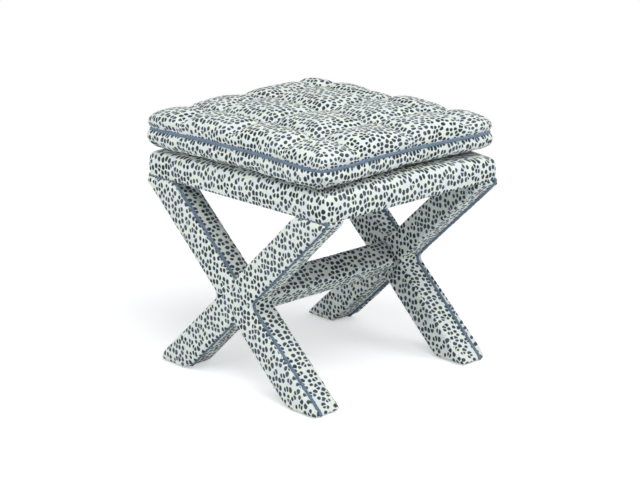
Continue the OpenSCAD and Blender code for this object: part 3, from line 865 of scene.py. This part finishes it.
def stretcher_cover():
    """Padded square section turned on its edge, gathered a little towards its ends."""
    half = (STRETCHER_HIGH[2] - STRETCHER_LOW[2]) / 2
    centre = half / math.sqrt(2) + STRETCHER_PAD - STRETCHER_CORNER_R
    corners = []
    for quarter in range(4):
        for step in range(QUARTER_STEPS + 1):
            turn = math.radians(90 * quarter + 90 * step / QUARTER_STEPS)
            corners.append(quarter_signs(quarter) * centre + STRETCHER_CORNER_R * circle(turn))
    ring = resample(np.array(corners + corners[:1]), STRETCHER_RING)
    turned = np.stack([ring[:, 0] - ring[:, 1], ring[:, 0] + ring[:, 1]], axis=1) / math.sqrt(2)
    around = lengths_along(turned)
    points = np.zeros((STRETCHER_ROWS + 1, len(turned), 3))
    flat = np.zeros((STRETCHER_ROWS + 1, len(turned), 2))
    for k in range(STRETCHER_ROWS + 1):
        share = 2 * k / STRETCHER_ROWS - 1
        x = share * (INNER_X - INNER_PROUD[1] - FRAME_BOW + STRETCHER_REACH)
        thick = 1 + STRETCHER_SWELL * (1 - share ** 2)
        points[k, :, 0] = x
        points[k, :, 1] = turned[:, 0] * thick
        points[k, :, 2] = CROSS_Z + turned[:, 1] * thick
        flat[k, :, 0] = around
        flat[k, :, 1] = x
    made = Patches()
    made.sheet(points, flat)
    for k, flip in ((0, False), (STRETCHER_ROWS, True)):
        end = np.stack([points[k], points[k] * np.array([1, END_SHARE, 1])])
        end[1, :, 2] = CROSS_Z + (points[k, :, 2] - CROSS_Z) * END_SHARE
        made.sheet(end, np.stack([flat[k], flat[k] * END_SHARE]), flip)
    piece = made.build("stretcher_cover_padded")
    subdivide(piece)
    wrinkle(piece, seed=31, amount=1.3, stretch=(0.8, 1.6, 1.6))
    points = get_points(piece)
    to_ridge = np.minimum(np.abs(points[:, 1]), np.abs(points[:, 2] - CROSS_Z))
    bend = PUCKER_BEND * ripple(points, scale=40, seed=33)
    waves = np.cos(2 * math.pi * points[:, 0] / PUCKER_PITCH + bend)
    push_out(piece, PUCKER_D * waves * np.exp(-(to_ridge / PUCKER_WIDTH) ** 2))
    return piece


# Deck

DECK_CORNER_R = 6 * MM
DECK_EDGE_R = 11 * MM
DECK_BULGE = 1.6 * MM
DECK_CROWN = 13 * MM
DECK_CROWN_POWER = 9
DECK_SAG = 5 * MM
REST_GAP = 0.4 * MM
HEM = 62 * MM
CLOTH_T = 1.6 * MM
HEM_R = 4 * MM
HEM_FADE = 8 * MM
CLOSING_IN = 10 * MM
CLOSING_DEPTH = 1.0 * MM
CLOSING_SPREAD = 1.2 * MM
CLOSING_CLEAR = 0.004
LEAST_CORNER_R = 1.5 * MM
CLOSING_NEAR = 0.9 * MM
CORNER_STEPS = 6
SPACING = 6 * MM

# Rows of the deck's cloth: on its top from the middle out, on its edge and side, and on its hem
TOP_SHARES = (0.9, 0.6, 0.3)
TOP_INSETS = (40 * MM, 30 * MM, 22 * MM, 15 * MM)
SIDE_STEPS = 8
HEM_STEPS = 4
HEM_SHARES = (0.45, 0.7, 1.0)


def box_outline(inset):
    """Rounded rectangle in X and Y. Its left and right sides have closer points at the corners' closings."""
    radius = max(DECK_CORNER_R - inset, LEAST_CORNER_R)
    half = np.array([HALF_W - inset, HALF_D - inset])
    points = []
    for quarter in range(4):
        centre = (half - radius) * quarter_signs(quarter)
        for step in range(CORNER_STEPS):
            points.append(centre + radius * circle(math.radians(90 * (quarter + step / CORNER_STEPS))))
        turn = math.radians(90 * (quarter + 1))
        start = centre + radius * circle(turn)
        way = np.array([-math.sin(turn), math.cos(turn)])
        along_y = quarter % 2
        full = 2 * (HALF_D if along_y else HALF_W)
        length = 2 * (half[along_y] - radius)
        shares = np.arange(0, 1, SPACING / full)
        if along_y:
            closing = (CLOSING_IN + np.array([-1, 0, 1]) * CLOSING_SPREAD) / full
            clear = (shares > closing[-1] + CLOSING_CLEAR) & (shares < 1 - closing[-1] - CLOSING_CLEAR)
            shares = np.concatenate([[0], closing, shares[clear], 1 - closing[::-1]])
        points.extend(start + way * length * share for share in shares)
    return np.array(points + points[:1])


def deck_sag(x, y):
    """How far the deck's padding is pulled down towards its corner at +X and -Y."""
    return DECK_SAG * (ramp(x, HALF_W) * ramp(-y, HALF_D)) ** 3


def deck_rise(x, y):
    """How far the padded top of the deck stands above its edges."""
    across = 1 - ramp(np.abs(x), HALF_W) ** DECK_CROWN_POWER
    along = 1 - ramp(np.abs(y), HALF_D) ** DECK_CROWN_POWER
    return DECK_CROWN * across * along - deck_sag(x, y)


def deck_profile():
    """(inset, height) along the deck's cloth, from the middle of its top down its side to its hem."""
    rows = [(share * HALF_W, DECK_TOP) for share in TOP_SHARES]
    rows += [(inset, DECK_TOP) for inset in TOP_INSETS]
    for step in range(SIDE_STEPS + 1):
        turn = math.radians(90 * step / SIDE_STEPS)
        rows.append((DECK_EDGE_R * (1 - math.sin(turn)), DECK_TOP - DECK_EDGE_R * (1 - math.cos(turn))))
    side_top = DECK_TOP - DECK_EDGE_R
    foot = DECK_UNDER + HEM_R
    for step in range(1, SIDE_STEPS):
        share = step / SIDE_STEPS
        rows.append((-DECK_BULGE * math.sin(math.pi * share), side_top + (foot - side_top) * share))
    for step in range(HEM_STEPS + 1):
        turn = math.radians(90 * step / HEM_STEPS)
        rows.append((HEM_R * (1 - math.cos(turn)), foot - HEM_R * math.sin(turn)))
    rows += [(HEM * share, DECK_UNDER) for share in HEM_SHARES]
    return rows


def deck_cover():
    """The deck's cover as a cloth with some thickness: down its outer side to the hem, and up inside."""
    outer = deck_profile()
    inner = [(max(inset + CLOTH_T, CLOTH_T) if z > DECK_UNDER + CLOTH_T else inset,
              min(max(z - CLOTH_T, DECK_UNDER + CLOTH_T), DECK_TOP - CLOTH_T)) for inset, z in outer]
    profile = outer + inner[::-1]
    reference = box_outline(0.0)
    around = lengths_along(reference)
    near_corner = np.abs(np.abs(reference[:, 1]) - HALF_D + CLOSING_IN) < CLOSING_NEAR
    closing = near_corner & (np.abs(reference[:, 0]) > HALF_W - MM)
    points = []
    flat = []
    along = 0.0
    for k, (inset, z) in enumerate(profile):
        ring = box_outline(inset)
        if DECK_UNDER + 2 * MM < z < DECK_TOP - DECK_EDGE_R / 2:
            ring[:, 0] -= np.sign(ring[:, 0]) * closing * CLOSING_DEPTH
        if k:
            along += math.hypot(inset - profile[k - 1][0], z - profile[k - 1][1])
        if z > DECK_TOP - 2 * CLOTH_T:
            rise = deck_rise(ring[:, 0], ring[:, 1])
        else:
            rise = -deck_sag(ring[:, 0], ring[:, 1]) * max(z - DECK_UNDER, 0) / (DECK_TOP - DECK_UNDER)
        points.append(np.column_stack([ring, z + rise + np.zeros(len(ring))]))
        flat.append(np.column_stack([around, np.full(len(ring), -along)]))
    made = Patches()
    made.sheet(np.array(points), np.array(flat))
    piece = made.build("deck_cover_padded")
    subdivide(piece)

    def keep(found):
        return ramp(found[:, 2] - DECK_UNDER, HEM_FADE)

    wrinkle(piece, seed=51, amount=0.9, keep=keep)
    return piece


# Cushion

HALF_X = HALF_W + CUSHION_REACH
HALF_Y = HALF_D + CUSHION_REACH
SEAM_H = SEAM_Z - DECK_TOP
CROWN_H = (PILLOW_TOP_Z - SEAM_Z - SEAM_LIFT) * 0.84
CUSHION_SHIFT = np.array([-3 * MM, 3 * MM])
PINCH = 5 * MM
TUFT_SHARE = 0.62
TUFT_SHIFTS = [[(10, -12), (12, 1), (2, 9)],
               [(7, -3), (8, -7), (0, 12)],
               [(12, 8), (4, -10), (9, 7)]]
CHANNEL_WIDTH = 15 * MM
CHANNEL_D = 10 * MM
DIMPLE_WIDTH = 17 * MM
DIMPLE_D = 15 * MM
DIMPLE_POWER = 1.5
PACKED = 0.3
PACKED_WIDTH = 26 * MM
TOP_PRINT_SCALE = 1.1
BAND_PRINT_AT = 0.3
UNDER_PRINT_AT = 0.4
CORD_OUT = 2.2 * MM
SEAM_WAVE = 1.2 * MM
LIFTS = ((-0.6, 0.84, -2), (-0.42, 0.83, -7), (-0.15, 0.84, -5), (0.42, 0.84, -5), (0.7, 0.9, 9),
         (0.86, 0.6, 3), (0.84, 0.2, -8), (0.84, -0.15, -3), (0.84, -0.5, -7), (0.84, -0.85, -3))
LIFT_WIDTH = 42 * MM
END_SHIFTS = (0, 24 * MM, 10 * MM)
GRID_SHARES = np.array([0, 0.8, 0.88, 0.93, 0.96, 0.98, 1.0])
REACH_SHARES = np.array([0, 0.8, 0.9, 0.955, 0.985, 1.0, 1.0])
CROWN_AT = np.array([0, 0.46, 0.62, 0.7, 0.8, 0.88, 0.93, 0.96, 0.98, 1.0])
CROWN_SHARES = np.array([1, 0.99, 0.97, 0.955, 0.92, 0.82, 0.72, 0.61, 0.4, 0])
CROWN_POWER = 0.2
PINCH_FROM = 0.985
EDGE_FADE = 0.1
INNER_STEPS = 32
EDGE_STEPS = 9
EDGE_FROM = 0.88


def grid_lines():
    """Shares of the half size at which the cushion's grid lines lie, from seam to seam."""
    inside = np.linspace(0, EDGE_FROM, INNER_STEPS)
    edge = np.linspace(EDGE_FROM, 1.0, EDGE_STEPS)[1:]
    half = np.concatenate([inside, edge])
    return np.concatenate([-half[:0:-1], half])


def plan(u, v, inset):
    """X and Y on the cushion, for shares u and v of its half sizes: rounded corners and drawn-in sides."""
    most = np.maximum(np.maximum(np.abs(u), np.abs(v)), TINY)
    cut = CORNER_CUT * np.abs(u * v / most ** 2) ** CORNER_POWER * most ** 4
    x = u * ((HALF_X - inset) * (1 - cut) - SIDE_DRAW * u ** 2 * (1 - v ** 2))
    y = v * ((HALF_Y - inset) * (1 - cut) - SIDE_DRAW * v ** 2 * (1 - u ** 2))
    return x + CUSHION_SHIFT[0], y + CUSHION_SHIFT[1]


def seam_height(u, v):
    """The seam is lifted between the corners, and a little wavy."""
    wave = ripple(np.dstack([u, v, 0 * u]).reshape(-1, 3), scale=2.6, seed=44).reshape(u.shape)
    return SEAM_Z + SEAM_LIFT * (1 - (u * v) ** 2) + SEAM_WAVE * wave


def tuft_places():
    """X and Y of the tufts, in rows of rising X, each with its columns of falling Y."""
    shares = (-TUFT_SHARE, 0.0, TUFT_SHARE)
    return np.array([[np.array(plan(u, -v, 0.0)) + np.array(TUFT_SHIFTS[i][j]) * MM
                      for j, v in enumerate(shares)] for i, u in enumerate(shares)])


TUFTS = tuft_places()


def channel_lines():
    """The sewn lines from tuft to tuft, and on from the outer tufts to the seam."""
    lines = []
    for i in range(3):
        for j in range(3):
            if i < 2:
                lines.append((TUFTS[i, j], TUFTS[i + 1, j]))
            if j < 2:
                lines.append((TUFTS[i, j], TUFTS[i, j + 1]))
    for j in range(3):
        lines.append((TUFTS[0, j], np.array([-HALF_X, TUFTS[0, j, 1]])))
        lines.append((TUFTS[2, j], np.array([HALF_X, TUFTS[2, j, 1] + END_SHIFTS[j]])))
        lines.append((TUFTS[j, 0], np.array([TUFTS[j, 0, 0], HALF_Y])))
        lines.append((TUFTS[j, 2], np.array([TUFTS[j, 2, 0], -HALF_Y])))
    return lines


def from_channels(places):
    """For places in X and Y: distance to the nearest channel, and the way straight out from it."""
    return from_lines(places, channel_lines())


def from_tufts(places):
    """For places in X and Y: distance to the nearest tuft, the way out from it, and its number."""
    away = places[:, None] - TUFTS.reshape(1, -1, 2)
    lengths = np.linalg.norm(away, axis=2)
    number = lengths.argmin(axis=1)
    rows = np.arange(len(places))
    length = lengths[rows, number]
    return length, away[rows, number] / np.maximum(length, TINY)[:, None], number


def top_sheet():
    """The cushion's top panel before the cloth is worked: rows along X, columns along Y."""
    lines = grid_lines()
    u, v = np.meshgrid(lines, lines, indexing="ij")
    most = np.maximum(np.abs(u), np.abs(v))
    edge = most > 1 - TINY
    spread = np.where(most > 0, np.interp(most, GRID_SHARES, REACH_SHARES) / np.maximum(most, TINY), 1)
    inset = np.interp(most, [PINCH_FROM, 1.0], [0, PINCH])
    x, y = plan(u * spread, v * spread, inset)
    crown_u = np.interp(np.abs(u), CROWN_AT, CROWN_SHARES)
    crown_v = np.interp(np.abs(v), CROWN_AT, CROWN_SHARES)
    low = np.minimum(crown_u, crown_v)
    high = np.maximum(crown_u, crown_v)
    rise = np.where(edge, 0, low * high ** CROWN_POWER)
    places = np.dstack([x, y]).reshape(-1, 2)
    fade = ramp(1 - most, EDGE_FADE)
    lift = np.zeros(len(places))
    for across, along, height in LIFTS:
        centre = np.array(plan(across, along, 0.0))
        lift += height * MM * np.exp(-(np.linalg.norm(places - centre, axis=1) / LIFT_WIDTH) ** 2)
    channel = from_channels(places)[0].reshape(u.shape)
    dimple = from_tufts(places)[0].reshape(u.shape)
    drop = fade * (CHANNEL_D * np.exp(-(channel / CHANNEL_WIDTH) ** 2)
                   + DIMPLE_D * np.exp(-(dimple / DIMPLE_WIDTH) ** DIMPLE_POWER))
    z = seam_height(u, v) + CROWN_H * rise + np.where(edge, 0, fade * lift.reshape(u.shape) - drop)
    return np.dstack([x, y, z])


def flat_pattern(top):
    """Where each point of the top panel lies on the printed cloth, which the tufts and channels gather."""
    along_x = np.cumsum(np.linalg.norm(np.diff(top, axis=0, prepend=top[:1]), axis=2), axis=0)
    along_y = np.cumsum(np.linalg.norm(np.diff(top, axis=1, prepend=top[:, :1]), axis=2), axis=1)
    middle = top.shape[0] // 2
    along_x -= along_x[middle]
    along_y -= along_y[:, middle:middle + 1]
    places = top[..., :2].reshape(-1, 2)
    channel, across = from_channels(places)
    dimple, out, _ = from_tufts(places)
    gathered = (across * (PACKED * channel * np.exp(-(channel / CHANNEL_WIDTH) ** 2))[:, None]
                + out * (PACKED * dimple * np.exp(-(dimple / PACKED_WIDTH) ** 2))[:, None])
    gathered = gathered.reshape(*top.shape[:2], 2)
    along_x = along_x.mean(axis=1)[:, None] + 0 * along_x
    along_y = along_y.mean(axis=0)[None] + 0 * along_y
    return np.dstack([along_y + gathered[..., 1], along_x + gathered[..., 0]]) * TOP_PRINT_SCALE


def rim_of(sheet):
    """The points round a square sheet, counter-clockwise, with the first again at the end."""
    return np.vstack([sheet[:-1, 0], sheet[-1, :-1], sheet[:0:-1, -1], sheet[0, :0:-1], sheet[:1, 0]])


BAND_DEPTHS = np.array([0, 0.06, 0.14, 0.24, 0.36, 0.48, 0.58, 0.68, 0.78, 0.86, 0.91, 0.95, 1.0])
BAND_AT = np.array([0, 0.1, 0.26, 0.48, 0.66, 0.78, 0.86, 0.91, 0.95, 1.0])
BAND_INSETS = np.array([5, 1.2, -1.4, -0.8, 4, 11, 19, 27, 38, 50]) * MM
UNDER_RING_SHARES = (0.7, 0.4, 0.1, 0.01)
UNDER_SHIFT_AT = (-1, -0.5, 0, 1)
UNDER_SHIFTS = np.array([3, 9, 21, 18]) * MM
CORNER_TUCK = -4 * MM
CORNER_TUCK_POWER = 10


def cushion():
    """The whole cushion as one closed skin: its top panel, lower band and underside."""
    top = top_sheet()
    made = Patches()
    made.sheet(top, flat_pattern(top))
    seam = rim_of(top)
    lines = grid_lines()
    u, v = np.meshgrid(lines, lines, indexing="ij")
    rim_u = rim_of(np.dstack([u, v]))
    at_corner = np.abs(rim_u[:, 0] * rim_u[:, 1]) ** CORNER_TUCK_POWER
    around = lengths_along(seam)
    rings = []
    flats = []
    for depth in BAND_DEPTHS:
        inset = np.interp(depth, BAND_AT, BAND_INSETS) + CORNER_TUCK * at_corner * depth ** 2
        x, y = plan(rim_u[:, 0], rim_u[:, 1], inset)
        y = y + np.interp(rim_u[:, 0], UNDER_SHIFT_AT, UNDER_SHIFTS) * depth ** 2
        rest = DECK_TOP + REST_GAP + deck_rise(x, y)
        z = seam[:, 2] + (rest - seam[:, 2]) * depth
        rings.append(np.column_stack([x, y, z]))
        down = np.full(len(around), -depth * SEAM_H - BAND_PRINT_AT)
        flats.append(np.column_stack([around, down]) * TOP_PRINT_SCALE)
    centre = np.append(CUSHION_SHIFT + (0, UNDER_SHIFTS[2]), 0)
    for share in UNDER_RING_SHARES:
        ring = centre + (rings[len(BAND_DEPTHS) - 1] - centre) * (share, share, 1)
        ring[:, 2] = DECK_TOP + REST_GAP + deck_rise(ring[:, 0], ring[:, 1])
        rings.append(ring)
        down = np.full(len(around), -SEAM_H - UNDER_PRINT_AT + share)
        flats.append(np.column_stack([around * share, down]))
    made.sheet(np.array(rings), np.array(flats), flip=True)
    return made.build("cushion")


SWELL_FRAMES = 20
SWELL_CAP = 12 * MM
SWELL_LEVELS = 20
SWELL_QUALITY = 6
SWELL_MASS = 0.3
SWELL_PRESSURE = 4
SWELL_GROWTH = 0.03


def swell(piece, pins):
    """Blows the cloth up round its pinned points, by cloth simulation, and limits how far a point moves."""
    start = get_points(piece)
    group = piece.vertex_groups.new(name="pins")
    levels = np.round(pins * SWELL_LEVELS) / SWELL_LEVELS
    for level in np.unique(levels[levels > 0]):
        group.add(np.flatnonzero(levels == level).tolist(), float(level), "REPLACE")
    modifier = piece.modifiers.new("swell", "CLOTH")
    cloth_rules = modifier.settings
    cloth_rules.quality = SWELL_QUALITY
    cloth_rules.mass = SWELL_MASS
    cloth_rules.vertex_group_mass = "pins"
    cloth_rules.use_pressure = True
    cloth_rules.uniform_pressure_force = SWELL_PRESSURE
    cloth_rules.shrink_min = -SWELL_GROWTH
    cloth_rules.effector_weights.gravity = 0
    modifier.collision_settings.use_collision = False
    modifier.point_cache.frame_start = 1
    modifier.point_cache.frame_end = SWELL_FRAMES
    for frame_number in range(1, SWELL_FRAMES + 1):
        bpy.context.scene.frame_set(frame_number)
    apply_modifiers(piece)
    bpy.context.scene.frame_set(1)
    piece.vertex_groups.clear()
    moved = get_points(piece) - start
    length = np.linalg.norm(moved, axis=1)
    share = np.minimum(1, SWELL_CAP / np.maximum(length, TINY))
    set_points(piece, start + moved * share[:, None])


TOP_FROM = 12 * MM
HOLD_R = 6 * MM
CHANNEL_HOLD = 0.5
REST_HOLD = 7 * MM


def cushion_pins(points, seam):
    """1 where the cloth is held fast: at tufts, along the seam and underneath. Channels hold it less."""
    to_seam = np.linalg.norm(points[:, None] - seam[None], axis=2).min(axis=1)
    on_top = points[:, 2] > SEAM_Z + TOP_FROM
    channel = from_channels(points[:, :2])[0]
    dimple = from_tufts(points[:, :2])[0]
    pins = np.where(on_top, CHANNEL_HOLD * np.exp(-(channel / HOLD_R) ** 2), 0)
    pins[on_top & (dimple < HOLD_R)] = 1
    rest = DECK_TOP + deck_rise(points[:, 0], points[:, 1])
    pins[(to_seam < MM) | (points[:, 2] < rest + REST_HOLD)] = 1
    return pins


GATHERS = 9
GATHER_D = 1.5 * MM
GATHER_R = 15 * MM
GATHER_WIDTH = 11 * MM
GATHER_BEND = 1.4
GATHER_TURN = 1.7
GATHER_FROM = 10 * MM
BAND_PLEATS = 260
BAND_PLEAT_D = 1.8 * MM
BAND_PLEAT_BEND = 2.5
BAND_CORNER = (0.72, 0.16)

# How far the band's pleats stay off the seam and off the deck, and the height in which they come in
OFF_SEAM = (6 * MM, 12 * MM)
OFF_DECK = (4 * MM, 8 * MM)


def gather(piece):
    """Presses small folds into the cloth round each tuft, and at the corners of the lower band."""
    points = get_points(piece)
    on_top = ramp(points[:, 2] - SEAM_Z - GATHER_FROM, GATHER_FROM)
    distance, out, number = from_tufts(points[:, :2])
    turn = np.arctan2(out[:, 1], out[:, 0])
    bend = GATHER_BEND * ripple(points, scale=30, seed=61)
    folds = np.cos(GATHERS * turn + bend + number * GATHER_TURN)
    push = GATHER_D * (folds * np.exp(-((distance - GATHER_R) / GATHER_WIDTH) ** 2)) * on_top
    share = np.abs((points[:, :2] - CUSHION_SHIFT) / np.array([HALF_X, HALF_Y]))
    corner = ramp(share.prod(axis=1) - BAND_CORNER[0], BAND_CORNER[1])
    low = (ramp(SEAM_Z - OFF_SEAM[0] - points[:, 2], OFF_SEAM[1])
           * ramp(points[:, 2] - DECK_TOP - OFF_DECK[0], OFF_DECK[1]))
    swirl = np.arctan2(points[:, 1], points[:, 0])
    pleats = np.cos(BAND_PLEATS * swirl + BAND_PLEAT_BEND * ripple(points, scale=35, seed=62))
    push_out(piece, push + BAND_PLEAT_D * pleats * corner * low)


add_camera()

cloth = printed_cloth()
cord_cloth = welt_cloth()

for side_name, side in (("left", -1), ("right", 1)):
    padded_frame = frame_cover(f"{side_name}_frame_padded", side)
    dress(padded_frame, cloth, "printed_cloth",
          *[f"{side_name}_{part}" for part in ("through_cover", "upper_cover", "lower_cover",
                                               "through_foam", "upper_foam", "lower_foam")])
    long_welt = frame_welt(f"{side_name}_long_welt", side, LONG_RUN, seed=3)
    short_welt = frame_welt(f"{side_name}_short_welt", side, SHORT_RUN, seed=4)
    for welt in (long_welt, short_welt):
        dress(welt, cord_cloth, "welt_cloth", f"{side_name}_frame_welt")

padded_stretcher = stretcher_cover()
dress(padded_stretcher, cloth, "printed_cloth", "stretcher_cover", "stretcher_foam")

padded_deck = deck_cover()
dress(padded_deck, cloth, "printed_cloth", "deck_cover", "deck_foam")

seam_path = rim_of(top_sheet())[:-1]
pillow = cushion()
swell(pillow, cushion_pins(get_points(pillow), seam_path))
subdivide(pillow)
gather(pillow)
wrinkle(pillow, seed=71, amount=0.8, keep=lambda found: ramp(found[:, 2] - DECK_TOP, WRINKLE_FADE))
dress(pillow, cloth, "printed_cloth", "cushion_top_cover", "cushion_base_cover", "cushion_fill")

outward = seam_path - seam_path.mean(axis=0)
outward[:, 2] = 0
pillow_welt = tube("cushion_welt_cord", seam_path + unit(outward) * CORD_OUT, WELT_R, closed=True, seed=6)
dress(pillow_welt, cord_cloth, "welt_cloth", "cushion_welt")

# Materials of the nodes that are kept
hardwood = wood("hardwood", (196, 158, 112), (160, 120, 78), stretch=(1.0, 0.25, 0.4))
plywood = wood("plywood", (210, 178, 132), (186, 150, 104), stretch=(0.3, 1.0, 2.0))
zinc = speckled("zinc_steel", (176, 178, 182), (150, 152, 158), scale=300.0, roughness=0.32, metallic=1.0,
                relief_mm=0.02)
dust_cloth = speckled("dust_cloth", (26, 27, 30), (40, 41, 44), scale=900.0, roughness=0.95, relief_mm=0.2)
twine = speckled("twine", (186, 176, 148), (150, 140, 112), scale=1200.0, roughness=0.9, relief_mm=0.2)
glide_plastic = speckled("glide_plastic", (34, 34, 37), (46, 46, 50), scale=500.0, roughness=0.5,
                         relief_mm=0.03)
kept = {"hardwood": hardwood, "plywood": plywood, "zinc_steel": zinc, "dust_cloth": dust_cloth,
        "twine": twine, "glide_plastic": glide_plastic, "printed_cloth": cloth, "welt_cloth": cord_cloth,
        "foam": twine}
slots = {row["node"]: row["material_slot"] for row in frame["record"]["subparts"]}
for node_name, node_object in frame["nodes"].items():
    node_object.data.materials.clear()
    node_object.data.materials.append(kept[slots[node_name]])


# Floor, lamps and background

WHITE = (1.0, 1.0, 1.0, 1.0)
FLOOR_TONES = (linear((243, 244, 244)), linear((246, 247, 247)))
FLOOR_DIM = linear((236, 238, 240))
FLOOR_GLOW = 0.42
FADE_FROM = 0.55
FADE_TO = 1.3
FILL_COLOUR = (0.96, 0.98, 1.0, 1.0)
FILL_STRENGTH = 0.42

# Name, place, target, size and power of each lamp
LAMPS = (("key", (-1.2, -1.5, 3.0), (0, 0, 0.3), 2.2, 53),
         ("fill", (1.3, -2.4, 2.4), (0, 0, 0.3), 2.0, 32),
         ("side", (-2.7, 0.8, 0.8), (0, 0, 0.2), 1.6, 16))


def add_stage():
    """A pale floor that turns to plain white with the distance."""
    bpy.ops.mesh.primitive_plane_add(size=40)
    floor = bpy.context.object
    floor.name = "floor"
    shader = new_shader("floor")
    light = shader.add("LightPath", {}, output="Is Camera Ray")
    place = shader.place()
    colour = shader.mix(shader.noise(place, scale=3.0), *FLOOR_TONES)
    matt = shader.add("BsdfDiffuse", {"Color": colour})
    glow = shader.add("Emission", {"Color": WHITE, "Strength": FLOOR_GLOW})
    lit = shader.add("AddShader", {0: matt, 1: glow})
    white = shader.add("Emission", {"Color": WHITE, "Strength": 1.0})
    distance = shader.add("VectorMath", {0: place}, output="Value", operation="LENGTH")
    far = shader.remap(distance, FADE_FROM, FADE_TO, 0.0, 1.0)
    fading = shader.add("MixShader", {0: far, 1: lit, 2: white})
    dim = shader.add("BsdfDiffuse", {"Color": FLOOR_DIM})
    seen = shader.add("MixShader", {0: light, 1: dim, 2: fading})
    floor.data.materials.append(shader.show(seen))


def add_lamp(name, place, target, size, power):
    data = bpy.data.lights.new(name, "AREA")
    data.energy = power
    data.shape = "DISK"
    data.size = size
    lamp = bpy.data.objects.new(name, data)
    lamp.location = place
    lamp.rotation_euler = (Vector(target) - Vector(place)).to_track_quat("-Z", "Y").to_euler()
    bpy.context.scene.collection.objects.link(lamp)


def add_world():
    """White where it is seen or mirrored, and a softer cool light on everything else."""
    world = bpy.data.worlds.new("studio")
    shader = Shader(world, "World")
    direct = shader.add("LightPath", {}, output="Is Camera Ray")
    seen = shader.math("MAXIMUM", direct, direct.node.outputs["Is Glossy Ray"])
    fill = shader.add("Background", {"Color": FILL_COLOUR, "Strength": FILL_STRENGTH})
    white = shader.add("Background", {"Color": WHITE, "Strength": 1.0})
    bpy.context.scene.world = shader.show(shader.add("MixShader", {0: seen, 1: fill, 2: white}))


add_stage()
add_world()
for lamp_row in LAMPS:
    add_lamp(*lamp_row)
bpy.context.scene.view_settings.view_transform = "Standard"
